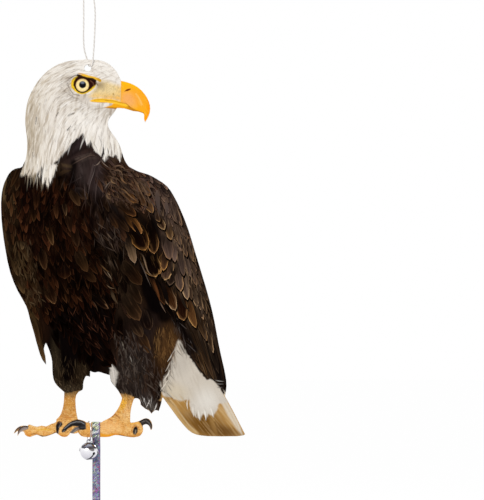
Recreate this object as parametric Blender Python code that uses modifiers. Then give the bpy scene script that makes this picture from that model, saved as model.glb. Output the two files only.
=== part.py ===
"""Hanging bird scarer: a flat board cut to the outline of a perched eagle, seen from its right side.

A foam board core carries a printed film on each face. A string loop through a punched hole in
the head hangs it up. A strip of foil ribbon is looped round the bar of toes and hangs down, and
a pressed jingle bell hangs beside it on a wire ring.

The part hangs from the knot of its string, and the origin is in that knot. Z is up, X runs to
the right of the picture, and the picture's front faces -Y.
"""

import math

import bmesh
import bpy
import numpy as np
from mathutils import Matrix, Vector

# The board: the die-cut core and the film laminated on each face
BOARD_WIDTH = 0.2147
BOARD_HEIGHT = 0.3326
CORE_THICKNESS = 0.0026
FILM_THICKNESS = 0.0002
HOLE_RADIUS = 0.0031
HOLE_HANG = 0.0756  # from the knot down to the middle of the hanging hole
HOLE_SIDE = -0.0007  # how far the hole lies to the right of the knot
HOLE_PLACE_SHARES = (0.355, 0.978)
CURVE_STEPS = 2

# Clearance between pieces that touch on the real thing
SEAT_GAP = 0.0003
WELD_DISTANCE = 0.00002
CUT_OVERRUN = 0.001

# The string loop and its knot
STRING_RADIUS = 0.0006
STRING_STEPS = 2
STRING_SIDES = 2
KNOT_LOOP = 0.0027
KNOT_DEPTH = 0.0011
KNOT_POINTS = 40
KNOT_OPENING_SHARE = 0.26  # how much of the top loop is left open for the two loose ends
KNOT_END_RISE = 0.0055
KNOT_END_SPREAD = 0.0012
KNOT_HEIGHT = 0.0002  # the knot's middle above the origin

# The wire ring that hangs on the bar of toes
RING_WIRE_RADIUS = 0.00055
RING_SLACK = 0.0029  # the free drop below the toes, inside the ring
RING_TURN = math.radians(14.5)
RING_BUTT_GAP = 0.0005
RING_BUTT_PLACE = math.radians(128)
RING_POINTS = 44
RING_PLACE_SHARE = 0.3602

# The jingle bell
BELL_RADIUS = 0.0078
BELL_WALL = 0.0004
BELL_TIP = math.radians(25)
BELL_SEAM_SKEW = math.radians(7)
BELL_SIDES = 48
BELL_RINGS = 9
FLANGE_REACH = 0.0003  # how far the upper half's flange stands out from its dome
FLANGE_THICKNESS = 0.0004
CRIMP_WALL = 0.00035
CRIMP_PLAY = 0.0001  # round the flange, and between the folded lip and the dome
SLOT_WIDTH = 0.0014
SLOT_EYE_RADIUS = 0.0014
SLOT_EYE_PLACE = math.radians(63)
SLOT_TURN = math.radians(50)

# The wire eye on the bell
EYE_WIRE_RADIUS = 0.00045
EYE_HALF_WIDTH = 0.00175
EYE_RISE = 0.0018  # from the dome's top up to the middle of the ring's wire
EYE_PLAY = 0.00045  # the ring's wire to the eye's wire, surface to surface
EYE_CLINCH = 0.0012  # the bent ends inside the bell
EYE_HOLE_CLEARANCE = 0.00015
EYE_BEND_POINTS = 8

# The loose ball inside
PELLET_RADIUS = 0.00225

# The foil ribbon
RIBBON_WIDTH = 0.0070
RIBBON_THICKNESS = 0.0002
RIBBON_SIDE_GAP = 0.00273  # from the ring's middle to the ribbon's near edge
RIBBON_STEPS = 3

# Where the outline is level along the bar of toes, as shares of the board's height and width
TOE_TOP_SHARE = 0.0399
TOE_FOOT_SHARE = 0.0013

# The outline, in runs that meet at corners. Each place is a share of the board's width and height,
# from its left and lower edges, and each run goes up to the next run's first place.
CROWN_SHARES = (
    (0.100, 0.734), (0.107, 0.761), (0.106, 0.792), (0.099, 0.829), (0.101, 0.861),
    (0.112, 0.896), (0.135, 0.927), (0.172, 0.959), (0.213, 0.980), (0.262, 0.994),
    (0.320, 0.9992), (0.373, 1.0), (0.422, 0.995), (0.459, 0.979), (0.484, 0.956),
)
BEAK_RIDGE_SHARES = (
    (0.491, 0.944), (0.527, 0.938), (0.562, 0.926), (0.588, 0.909), (0.605, 0.890),
    (0.611, 0.870), (0.605, 0.852),
)
BEAK_EDGE_SHARES = (
    (0.590, 0.834), (0.5857, 0.844), (0.5861, 0.854), (0.580, 0.859), (0.541, 0.864),
    (0.504, 0.871),
)
THROAT_SHARES = (
    (0.475, 0.872), (0.459, 0.857), (0.442, 0.843), (0.437, 0.829), (0.446, 0.8135),
    (0.465, 0.796), (0.485, 0.775), (0.496, 0.754), (0.507, 0.733),
)
WING_SHARES = (
    (0.5225, 0.7175), (0.562, 0.704), (0.603, 0.696), (0.641, 0.683), (0.680, 0.665),
    (0.707, 0.640), (0.736, 0.602), (0.768, 0.549), (0.793, 0.496), (0.818, 0.443),
    (0.854, 0.364), (0.875, 0.306), (0.891, 0.250), (0.906, 0.205), (0.919, 0.167),
    (0.924, 0.136),
)
TAIL_EDGE_SHARES = ((0.918, 0.109), (0.947, 0.075), (0.975, 0.040))
TAIL_FOOT_SHARES = (
    (1.0, 0.0085), (0.992, 0.0056), (0.9385, 0.0034), (0.873, 0.0034), (0.820, 0.0053),
    (0.783, 0.0124), (0.750, 0.0317), (0.705, 0.069),
)
TAIL_ROOT_SHARES = ((0.661, 0.1085), (0.656, 0.090))
FRINGE_FIRST_SHARES = ((0.646, 0.070), (0.634, 0.073))
FRINGE_SECOND_SHARES = ((0.616, 0.063), (0.607, 0.071), (0.591, 0.076))
FRINGE_THIRD_SHARES = ((0.572, 0.087), (0.568, 0.100), (0.549, 0.104))
REAR_LEG_SHARES = ((0.543, 0.100), (0.534, 0.081), (0.5295, 0.061))
HIND_TOE_SHARES = (
    (0.529, 0.039), (0.549, 0.0405), (0.570, 0.045), (0.582, 0.049), (0.596, 0.051),
    (0.611, 0.046), (0.619, 0.035), (0.619, 0.024),
)
HIND_CLAW_SHARES = ((0.614, 0.019), (0.609, 0.028), (0.601, 0.034), (0.590, 0.035))
HIND_PAD_SHARES = (
    (0.5795, 0.031), (0.582, 0.021), (0.576, 0.0093), (0.562, 0.0024), (0.525, 0.0013),
    (0.492, 0.0050), (0.467, 0.0066), (0.443, 0.0019),
)
FRONT_TOE_SHARES = (
    (0.410, TOE_FOOT_SHARE), (0.348, TOE_FOOT_SHARE), (0.328, 0.0045),
)
CLAW_GAP_SHARES = ((0.316, 0.0130), (0.301, 0.0103))
MIDDLE_TOE_SHARES = (
    (0.283, 0.0119), (0.2705, 0.0029), (0.250, 0.0024), (0.236, 0.0077),
)
LONG_TOE_SHARES = (
    (0.225, 0.0130), (0.201, 0.0066), (0.168, 0.0021), (0.1455, 0.0077), (0.119, 0.0016),
    (0.0996, 0.0066),
)
LOWER_CLAW_SHARES = ((0.094, 0.0151), (0.082, 0.0159))
LOWER_CLAW_TIP_SHARES = ((0.0676, 0.0040), (0.0689, 0.0159))
CLAW_FORK_SHARES = ((0.074, 0.021),)
UPPER_CLAW_SHARES = (
    (0.052, 0.0098), (0.0586, 0.0204), (0.074, 0.0288), (0.092, 0.0315),
)
TOE_RIDGE_SHARES = (
    (0.109, 0.0304), (0.114, 0.0341), (0.127, 0.0320), (0.1475, 0.0286), (0.166, 0.0315),
    (0.184, 0.0294), (0.205, 0.0362), (0.225, 0.0410),
)
FRONT_LEG_SHARES = (
    (0.2266, 0.0481), (0.240, 0.0569), (0.250, 0.0714), (0.2566, 0.0913),
)
FRONT_THIGH_SHARES = (
    (0.259, 0.1204), (0.240, 0.131), (0.222, 0.144), (0.214, 0.157), (0.210, 0.181),
    (0.209, 0.202), (0.201, 0.2235), (0.191, 0.241),
)
WING_NOTCH_SHARES = ((0.183, 0.251), (0.175, 0.235), (0.181, 0.216))
FAR_WING_SHARES = (
    (0.184, 0.193), (0.169, 0.206), (0.154, 0.2315), (0.135, 0.2765), (0.118, 0.3135),
    (0.105, 0.345), (0.068, 0.388), (0.037, 0.438), (0.018, 0.496), (0.005, 0.554),
    (0.0, 0.602), (0.001, 0.636), (0.008, 0.663), (0.023, 0.688), (0.045, 0.707),
    (0.072, 0.7135),
)
MANE_SHARES = ((0.085, 0.713), (0.092, 0.725))
OUTLINE_SHARES = (
    CROWN_SHARES, BEAK_RIDGE_SHARES, BEAK_EDGE_SHARES, THROAT_SHARES, WING_SHARES,
    TAIL_EDGE_SHARES, TAIL_FOOT_SHARES, TAIL_ROOT_SHARES, FRINGE_FIRST_SHARES,
    FRINGE_SECOND_SHARES, FRINGE_THIRD_SHARES, REAR_LEG_SHARES, HIND_TOE_SHARES,
    HIND_CLAW_SHARES, HIND_PAD_SHARES, FRONT_TOE_SHARES, CLAW_GAP_SHARES,
    MIDDLE_TOE_SHARES, LONG_TOE_SHARES, LOWER_CLAW_SHARES, LOWER_CLAW_TIP_SHARES,
    CLAW_FORK_SHARES, UPPER_CLAW_SHARES, TOE_RIDGE_SHARES, FRONT_LEG_SHARES,
    FRONT_THIGH_SHARES, WING_NOTCH_SHARES, FAR_WING_SHARES, MANE_SHARES,
)

# The gap between the legs, in the same shares
BELLY_SHARES = ((0.365, 0.176), (0.385, 0.172), (0.3975, 0.174), (0.420, 0.170))
REAR_THIGH_SHARES = ((0.446, 0.165), (0.451, 0.148), (0.467, 0.135), (0.482, 0.122))
REAR_SHIN_SHARES = (
    (0.496, 0.1045), (0.486, 0.085), (0.471, 0.069), (0.457, 0.058), (0.441, 0.0505),
    (0.422, 0.0447),
)
TOE_BAR_SHARES = ((0.410, TOE_TOP_SHARE),)
FRONT_CLAW_SHARES = ((0.349, TOE_TOP_SHARE), (0.342, 0.0431), (0.328, 0.0463))
FRONT_SHIN_SHARES = ((0.314, 0.0481), (0.308, 0.0675), (0.305, 0.090), (0.307, 0.111))
FRONT_THIGH_EDGE_SHARES = (
    (0.319, 0.122), (0.334, 0.127), (0.336, 0.1415), (0.342, 0.156), (0.349, 0.163),
)
BELLY_TUFT_SHARES = ((0.364, 0.1606),)
WINDOW_SHARES = (
    BELLY_SHARES, REAR_THIGH_SHARES, REAR_SHIN_SHARES, TOE_BAR_SHARES, FRONT_CLAW_SHARES,
    FRONT_SHIN_SHARES, FRONT_THIGH_EDGE_SHARES, BELLY_TUFT_SHARES,
)

# The string's route, in metres: down in front of the head, through the hole and up behind it
STRING_ROUTE = (
    (0.00070, -0.0003, -0.0032), (0.00178, -0.0005, -0.0060), (0.00326, -0.0008, -0.0101),
    (0.00458, -0.0012, -0.0154), (0.00554, -0.0015, -0.0220), (0.00590, -0.0018, -0.0290),
    (0.00572, -0.0020, -0.0370), (0.00546, -0.0022, -0.0449), (0.00502, -0.0024, -0.0537),
    (0.00449, -0.0025, -0.0616), (0.00414, -0.0025, -0.0669), (0.00387, -0.0025, -0.0704),
    (0.00326, -0.0025, -0.0728), (0.00220, -0.0025, -0.0740), (0.00125, -0.0023, -0.0742),
    (0.00062, -0.0017, -0.0739), (0.00045, -0.0009, -0.07385), (0.00045, 0.0, -0.07385),
    (0.00045, 0.0009, -0.07385), (0.00038, 0.0017, -0.0738), (0.00015, 0.0023, -0.0733),
    (-0.00040, 0.0025, -0.0722), (-0.00100, 0.0025, -0.0700), (-0.00160, 0.0025, -0.0675),
    (-0.00260, 0.0025, -0.0642), (-0.00334, 0.0024, -0.0617), (-0.00405, 0.0023, -0.0581),
    (-0.00449, 0.0022, -0.0530), (-0.00460, 0.0020, -0.0455), (-0.00448, 0.0018, -0.0375),
    (-0.00440, 0.0016, -0.0290), (-0.00449, 0.0013, -0.0190), (-0.00420, 0.0010, -0.0122),
    (-0.00310, 0.0007, -0.0078), (-0.00178, 0.0005, -0.0052), (-0.00070, 0.0003, -0.0032),
)

# The ribbon's free fall behind the bell, in metres: how far behind the board's back face, and how
# far below the loop round the toes
RIBBON_ROUTE = (
    (0.0004, 0.0), (0.0009, -0.0020), (0.0020, -0.0050), (0.0031, -0.0086),
    (0.0035, -0.0123), (0.0034, -0.0168), (0.0030, -0.0228), (0.0025, -0.0298),
    (0.0021, -0.0378), (0.0022, -0.0458), (0.0027, -0.0548), (0.0035, -0.0648),
    (0.0042, -0.0758), (0.0045, -0.0868), (0.0042, -0.0988), (0.0034, -0.1108),
    (0.0024, -0.1228), (0.0017, -0.1348), (0.0016, -0.1468), (0.0022, -0.1588),
    (0.0033, -0.1708), (0.0045, -0.1818),
)

HALF_CORE = CORE_THICKNESS / 2
HALF_BOARD = HALF_CORE + FILM_THICKNESS
HOLE_X = HOLE_SIDE
HOLE_Z = -HOLE_HANG


def start_scene():
    """Clears the scene and gives the collections for the parts and for the cutters."""
    for old in list(bpy.data.objects):
        bpy.data.objects.remove(old)
    made = []
    for name in ("bird_scarer", "cutters"):
        collection = bpy.data.collections.new(name)
        bpy.context.scene.collection.children.link(collection)
        made.append(collection)
    return made


def finish_of(name, colour, roughness, metallic):
    """A Principled material with the part's colour, roughness and metallic value."""
    material = bpy.data.materials.new(name)
    material.use_nodes = True
    shader = material.node_tree.nodes["Principled BSDF"]
    shader.inputs["Base Color"].default_value = (*colour, 1)
    shader.inputs["Roughness"].default_value = roughness
    shader.inputs["Metallic"].default_value = metallic
    return material


def add_object(name, data, collection, material=None):
    """A named object of this mesh or curve, in a collection, with its material."""
    made = bpy.data.objects.new(name, data)
    collection.objects.link(made)
    if material is not None:
        data.materials.append(material)
    return made


def as_mesh(obj):
    """The evaluated object as a plain mesh object in its place, with its loose caps welded."""
    bpy.context.view_layer.update()
    evaluated = obj.evaluated_get(bpy.context.evaluated_depsgraph_get())
    mesh = bpy.data.meshes.new_from_object(evaluated)
    work = bmesh.new()
    work.from_mesh(mesh)
    bmesh.ops.remove_doubles(work, verts=work.verts, dist=WELD_DISTANCE)
    bmesh.ops.dissolve_degenerate(work, edges=work.edges, dist=WELD_DISTANCE)
    work.to_mesh(mesh)
    work.free()
    made = bpy.data.objects.new(obj.name, mesh)
    obj.users_collection[0].objects.link(made)
    made.matrix_world = obj.matrix_world
    name = obj.name
    bpy.data.objects.remove(obj)
    made.name = name
    return made


def place_on_board(shares):
    """The world X and Z of a place given as shares of the board's width and height."""
    x = HOLE_X + (shares[0] - HOLE_PLACE_SHARES[0]) * BOARD_WIDTH
    z = HOLE_Z + (shares[1] - HOLE_PLACE_SHARES[1]) * BOARD_HEIGHT
    return x, z


def add_outline(curve, runs):
    """One closed Bezier outline through the runs' places: smooth inside a run, a corner where it starts."""
    places = [(place_on_board(shares), i == 0) for run in runs for i, shares in enumerate(run)]
    spline = curve.splines.new("BEZIER")
    spline.bezier_points.add(len(places) - 1)
    spline.use_cyclic_u = True
    spline.resolution_u = CURVE_STEPS
    for point, ((x, z), _) in zip(spline.bezier_points, places):
        point.co = (x, z, 0)
    for point, (_, corner) in zip(spline.bezier_points, places):
        kind = "VECTOR" if corner else "AUTO"
        point.handle_left_type = kind
        point.handle_right_type = kind


def add_round(curve, x, z, radius):
    """One closed round outline, from four Bezier points with the handles of a circle."""
    spline = curve.splines.new("BEZIER")
    spline.bezier_points.add(3)
    spline.use_cyclic_u = True
    spline.resolution_u = CURVE_STEPS * 3
    handle = radius * 4 / 3 * math.tan(math.pi / 8)
    for i, point in enumerate(spline.bezier_points):
        angle = math.pi / 2 * i
        out = Vector((math.cos(angle), math.sin(angle), 0))
        along = Vector((-out.y, out.x, 0))
        middle = Vector((x, z, 0)) + radius * out
        point.handle_left_type = "FREE"
        point.handle_right_type = "FREE"
        point.co = middle
        point.handle_left = middle - handle * along
        point.handle_right = middle + handle * along


def board_layer(name, collection, material, thickness, middle_y):
    """One layer of the board: the flat outline with its window and its hole, and a thickness."""
    curve = bpy.data.curves.new(name, "CURVE")
    curve.dimensions = "2D"
    curve.fill_mode = "BOTH"
    curve.extrude = thickness / 2
    add_outline(curve, OUTLINE_SHARES)
    add_outline(curve, WINDOW_SHARES)
    add_round(curve, HOLE_X, HOLE_Z, HOLE_RADIUS)
    layer = add_object(name, curve, collection, material)
    layer.rotation_euler = (math.pi / 2, 0, 0)
    layer.location = (0, middle_y, 0)
    return as_mesh(layer)


def smooth_through(places, steps):
    """Points on a smooth curve through the places: a Catmull-Rom curve, which leaves each place
    along the line from the one before it to the one after it."""
    known = np.array(places, float)
    ends = np.vstack([2 * known[0] - known[1], known, 2 * known[-1] - known[-2]])
    before, start, end, after = ends[:-3], ends[1:-2], ends[2:-1], ends[3:]
    points = []
    for t in np.arange(steps) / steps:
        points.append(
            0.5 * (2 * start + (end - before) * t
                   + (2 * before - 5 * start + 4 * end - after) * t**2
                   + (3 * start - before - 3 * end + after) * t**3)
        )
    run = np.stack(points, axis=1).reshape(-1, known.shape[1])
    return np.vstack([run, known[-1]])


def wire(name, collection, material, points, radius, sides=STRING_SIDES):
    """A round wire or string along the points, with filled ends."""
    curve = bpy.data.curves.new(name, "CURVE")
    curve.dimensions = "3D"
    curve.bevel_depth = radius
    curve.bevel_resolution = sides
    curve.use_fill_caps = True
    spline = curve.splines.new("POLY")
    spline.points.add(len(points) - 1)
    for point, place in zip(spline.points, points):
        point.co = (*place, 1)
    made = as_mesh(add_object(name, curve, collection, material))
    shade_round(made)
    return made


def shade_round(obj):
    """Smooth shading with sharp edges kept."""
    obj.data.shade_smooth()
    obj.data.set_sharp_from_angle(angle=math.radians(40))


def knot_points():
    """An overhand knot: a three-lobed path that passes over and under itself, open at its top lobe,
    from where the two loose ends of the string stand up."""
    half_turn = math.pi * (1 - KNOT_OPENING_SHARE)
    turn = np.linspace(-half_turn, half_turn, KNOT_POINTS)
    x = KNOT_LOOP * (np.sin(turn) + 2 * np.sin(2 * turn)) / 3
    z = KNOT_LOOP * (2 * np.cos(2 * turn) - np.cos(turn)) / 3 + KNOT_HEIGHT
    y = KNOT_DEPTH * np.sin(3 * turn)
    body = np.stack([x, y, z], axis=1)
    ends = []
    for place in (body[0], body[-1]):
        lean = np.array([KNOT_END_SPREAD * np.sign(place[0]), 0, KNOT_END_RISE])
        ends.append(place + np.linspace(0, 1, 5)[1:, None] * lean)
    return np.vstack([ends[0][::-1], body, ends[1]])


def ribbon_band(name, collection, material, outline, closed, middle_x):
    """A strip of ribbon: an outline in the YZ plane, drawn out to the ribbon's width and thickness."""
    curve = bpy.data.curves.new(name, "CURVE")
    curve.dimensions = "2D"
    curve.fill_mode = "NONE"
    curve.extrude = RIBBON_WIDTH / 2
    spline = curve.splines.new("POLY")
    spline.points.add(len(outline) - 1)
    spline.use_cyclic_u = closed
    for point, (y, z) in zip(spline.points, outline):
        point.co = (y, z, 0, 1)
    strip = add_object(name, curve, collection, material)
    strip.rotation_euler = (math.pi / 2, 0, math.pi / 2)
    strip.location = (middle_x, 0, 0)
    strip = as_mesh(strip)
    solid = strip.modifiers.new("thickness", "SOLIDIFY")
    solid.thickness = RIBBON_THICKNESS
    solid.offset = 0
    solid.use_even_offset = True
    shade_round(strip)
    return strip


def ribbon_fall():
    """The free fall's places behind and below the toes, and so from where the ribbon leaves them."""
    leave = toe_heights()[1] - SEAT_GAP - RIBBON_THICKNESS - SEAT_GAP
    return [(HALF_BOARD + back, leave + drop) for back, drop in RIBBON_ROUTE]


def toe_heights():
    """The top and foot of the level bar of toes."""
    top = place_on_board((0, TOE_TOP_SHARE))[1]
    foot = place_on_board((0, TOE_FOOT_SHARE))[1]
    return top, foot


def loop_outline():
    """The ribbon's loop round the bar of toes: a rectangle with cut corners, a seat gap off the bar."""
    top, foot = toe_heights()
    reach = HALF_BOARD + SEAT_GAP + RIBBON_THICKNESS / 2
    rise = SEAT_GAP + RIBBON_THICKNESS / 2
    corner = rise / 2
    quarter = []
    for y_side, z_edge, z_side in ((1, top, 1), (-1, top, 1), (-1, foot, -1), (1, foot, -1)):
        side = (y_side * reach, z_edge + z_side * (rise - corner))
        over = (y_side * (reach - corner), z_edge + z_side * rise)
        first, second = (side, over) if y_side * z_side > 0 else (over, side)
        quarter += [first, second]
    return quarter


def turned(name, collection, material, profile, frame):
    """A turned shape: the profile, as radius and height pairs, screwed once round the bell's axis."""
    mesh = bpy.data.meshes.new(name)
    points = [(radius, 0, height) for radius, height in profile]
    edges = [(i, i + 1) for i in range(len(points) - 1)]
    mesh.from_pydata(points, edges, [])
    made = add_object(name, mesh, collection, material)
    screw = made.modifiers.new("turn", "SCREW")
    screw.axis = "Z"
    screw.angle = 2 * math.pi
    screw.steps = BELL_SIDES
    screw.render_steps = BELL_SIDES
    screw.use_merge_vertices = True
    screw.merge_threshold = WELD_DISTANCE
    screw.use_normal_calculate = True
    made.matrix_world = frame
    return made


def dome(radius, low, high, count):
    """Places on a round wall: radius and height, at even angles of height from low to high."""
    return [
        (radius * math.cos(a), radius * math.sin(a)) for a in np.linspace(low, high, count)
    ]


def upper_profile():
    """The upper half: a dome with a flat flange at its foot, run from the top down and back up inside."""
    inner = BELL_RADIUS - BELL_WALL
    knee = math.asin(FLANGE_THICKNESS / BELL_RADIUS)
    outside = dome(BELL_RADIUS, math.pi / 2, knee, BELL_RINGS)
    outside[0] = (0, BELL_RADIUS)
    inside = dome(inner, 0, math.pi / 2, BELL_RINGS)
    inside[-1] = (0, inner)
    edge = BELL_RADIUS + FLANGE_REACH
    return [*outside, (edge, FLANGE_THICKNESS), (edge, 0), *inside]


def lower_profile():
    """The lower half: a bowl whose rim runs out under the flange, up round it and back in over it."""
    inner = BELL_RADIUS - BELL_WALL
    knee = math.asin(CRIMP_WALL / BELL_RADIUS)
    inside = dome(inner, -math.pi / 2, 0, BELL_RINGS)
    inside[0] = (0, -inner)
    groove = BELL_RADIUS + FLANGE_REACH + CRIMP_PLAY
    lip_edge = BELL_RADIUS + CRIMP_PLAY
    lip_top = FLANGE_THICKNESS + CRIMP_WALL
    rim = groove + CRIMP_WALL
    crimp = [
        (groove, 0), (groove, FLANGE_THICKNESS), (lip_edge, FLANGE_THICKNESS),
        (lip_edge, lip_top), (rim, lip_top), (rim, -CRIMP_WALL),
    ]
    outside = dome(BELL_RADIUS, -knee, -math.pi / 2, BELL_RINGS)
    outside[-1] = (0, -BELL_RADIUS)
    return [*inside, *crimp, *outside]


def cutter_box(name, cutters, size, frame):
    """A box that cuts, of this size, in this frame."""
    mesh = bpy.data.meshes.new(name)
    work = bmesh.new()
    bmesh.ops.create_cube(work, size=1)
    bmesh.ops.scale(work, vec=size, verts=work.verts)
    work.to_mesh(mesh)
    work.free()
    return hide_cutter(add_object(name, mesh, cutters), frame)


def cutter_rod(name, cutters, radius, length, frame):
    """A round rod that cuts, along its frame's Z."""
    mesh = bpy.data.meshes.new(name)
    work = bmesh.new()
    bmesh.ops.create_cone(
        work, cap_ends=True, segments=20, radius1=radius, radius2=radius, depth=length
    )
    work.to_mesh(mesh)
    work.free()
    return hide_cutter(add_object(name, mesh, cutters), frame)


def hide_cutter(cutter, frame):
    """The cutter in its place, kept out of the picture."""
    cutter.matrix_world = frame
    cutter.hide_render = True
    cutter.display_type = "WIRE"
    return cutter


def cut(obj, cutter):
    """Takes the cutter out of the object."""
    boolean = obj.modifiers.new(cutter.name, "BOOLEAN")
    boolean.operation = "DIFFERENCE"
    boolean.solver = "EXACT"
    boolean.object = cutter


def ring_radius():
    """The radius of the ring's wire: round the bar of toes, with its seat gap and its slack."""
    top, foot = toe_heights()
    return (top - foot + SEAT_GAP + RING_SLACK) / 2 + RING_WIRE_RADIUS


def bell_frames():
    """The ring's middle, the place of its wire that carries the bell, and the bell's frames."""
    seat = toe_heights()[0] + SEAT_GAP + RING_WIRE_RADIUS
    ring_x = place_on_board((RING_PLACE_SHARE, 0))[0]
    ring_middle = Vector((ring_x, 0, seat - ring_radius()))
    hang = ring_middle - Vector((0, 0, ring_radius()))
    tip = Matrix.Rotation(-BELL_TIP, 4, "X")
    reach = BELL_RADIUS + EYE_RISE
    bell = Matrix.Translation(hang) @ tip @ Matrix.Translation((0, 0, -reach))
    shells = bell @ Matrix.Rotation(BELL_SEAM_SKEW, 4, "Y")
    return ring_middle, hang, bell, shells


def carry(name, parts, place, pieces, carrier=None):
    """An empty on a joint's axis, carried by another one, that carries the pieces turning about it."""
    axis = bpy.data.objects.new(name, None)
    axis.empty_display_size = BELL_RADIUS
    parts.objects.link(axis)
    axis.location = place
    bpy.context.view_layer.update()
    if carrier is not None:
        axis.parent = carrier
        axis.matrix_parent_inverse = carrier.matrix_world.inverted()
    for piece in pieces:
        piece.parent = axis
        piece.matrix_parent_inverse = axis.matrix_world.inverted()
    bpy.context.view_layer.update()
    return axis


def build_board(parts):
    """The three layers of the board."""
    foam = finish_of("foam_board", (0.90, 0.90, 0.88), 0.6, 0)
    print_film = finish_of("printed_film", (0.09, 0.05, 0.03), 0.35, 0)
    film_middle = HALF_CORE + FILM_THICKNESS / 2
    return [
        board_layer("board_core", parts, foam, CORE_THICKNESS, 0),
        board_layer("front_print", parts, print_film, FILM_THICKNESS, -film_middle),
        board_layer("back_print", parts, print_film, FILM_THICKNESS, film_middle),
    ]


def build_string(parts):
    """The string loop, and the knot that closes it and hangs the part up."""
    cotton = finish_of("pale_string", (0.72, 0.71, 0.69), 0.8, 0)
    route = smooth_through(STRING_ROUTE, STRING_STEPS)
    wire("string_knot", parts, cotton, knot_points(), STRING_RADIUS)
    return wire("hanging_string", parts, cotton, route, STRING_RADIUS)


def build_ribbon(parts, ring_x):
    """The foil ribbon: its loop round the toes and its free fall behind the bell."""
    foil = finish_of("foil_ribbon", (0.45, 0.42, 0.62), 0.2, 0.9)
    middle_x = ring_x + RIBBON_SIDE_GAP + RIBBON_WIDTH / 2
    fall = smooth_through(ribbon_fall(), RIBBON_STEPS)
    loop = ribbon_band("ribbon_loop", parts, foil, loop_outline(), True, middle_x)
    return loop, ribbon_band("ribbon_tail", parts, foil, fall, False, middle_x)


def build_ring(parts, steel, middle):
    """The wire ring, bent round until its two ends nearly meet."""
    radius = ring_radius()
    gap = RING_BUTT_GAP / radius
    turn = np.linspace(gap / 2, 2 * math.pi - gap / 2, RING_POINTS) + RING_BUTT_PLACE
    along = Matrix.Rotation(RING_TURN, 3, "Z") @ Vector((0, -1, 0))
    up = Vector((0, 0, 1))
    points = [middle + radius * (math.cos(a) * along + math.sin(a) * up) for a in turn]
    return wire("bell_ring", parts, steel, points, RING_WIRE_RADIUS)


def cut_slot(lower, cutters, shells):
    """The sound slot: a bar through the bottom of the bowl and a round hole at each of its ends."""
    slot = shells @ Matrix.Rotation(SLOT_TURN, 4, "Z")
    slot_top = BELL_RADIUS * math.cos(SLOT_EYE_PLACE)
    slot_depth = BELL_RADIUS - slot_top + CUT_OVERRUN
    size = (SLOT_WIDTH, 2 * BELL_RADIUS, slot_depth)
    middle = slot @ Matrix.Translation((0, 0, -slot_top - slot_depth / 2))
    tools = [cutter_box("slot_bar", cutters, size, middle)]
    for side, name in ((1, "front_slot_eye"), (-1, "rear_slot_eye")):
        lean = slot @ Matrix.Rotation(side * (math.pi - SLOT_EYE_PLACE), 4, "X")
        place = lean @ Matrix.Translation((0, 0, BELL_RADIUS))
        tools.append(cutter_rod(name, cutters, SLOT_EYE_RADIUS, 4 * BELL_WALL, place))
    for tool in tools:
        cut(lower, tool)
    return tools


def cut_eye_holes(upper, cutters, bell):
    """The two holes in the dome that the legs of the wire eye go through."""
    tools = []
    for side, name in ((1, "right_eye_hole"), (-1, "left_eye_hole")):
        place = bell @ Matrix.Translation((side * EYE_HALF_WIDTH, 0, BELL_RADIUS))
        radius = EYE_WIRE_RADIUS + EYE_HOLE_CLEARANCE
        tools.append(cutter_rod(name, cutters, radius, BELL_RADIUS, place))
        cut(upper, tools[-1])
    return tools


def build_eye(parts, steel, bell):
    """The wire eye: an arch over the ring's wire, down through the dome, its ends bent out inside."""
    over = BELL_RADIUS + EYE_RISE + RING_WIRE_RADIUS + EYE_PLAY
    crown = over + EYE_WIRE_RADIUS - EYE_HALF_WIDTH
    bend = BELL_RADIUS - BELL_WALL - SEAT_GAP - 2 * EYE_WIRE_RADIUS
    arch = [
        (EYE_HALF_WIDTH * math.cos(a), 0, crown + EYE_HALF_WIDTH * math.sin(a))
        for a in np.linspace(0, math.pi, EYE_BEND_POINTS)
    ]
    foot = [
        (EYE_HALF_WIDTH + EYE_CLINCH, 0, bend - EYE_CLINCH / 2),
        (EYE_HALF_WIDTH, 0, bend),
    ]
    other_foot = [(-x, y, z) for x, y, z in reversed(foot)]
    route = [bell @ Vector(place) for place in [*foot, *arch, *other_foot]]
    return wire("bell_eye", parts, steel, route, EYE_WIRE_RADIUS)


def build_pellet(parts, middle):
    """The loose steel ball, resting at the lowest place inside the bell."""
    iron = finish_of("pellet_steel", (0.45, 0.45, 0.46), 0.35, 1)
    mesh = bpy.data.meshes.new("bell_pellet")
    work = bmesh.new()
    bmesh.ops.create_uvsphere(work, u_segments=20, v_segments=12, radius=PELLET_RADIUS)
    work.to_mesh(mesh)
    work.free()
    pellet = add_object("bell_pellet", mesh, parts, iron)
    rest = BELL_RADIUS - BELL_WALL - SEAT_GAP - PELLET_RADIUS
    pellet.location = middle - Vector((0, 0, rest))
    shade_round(pellet)
    return pellet


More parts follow.
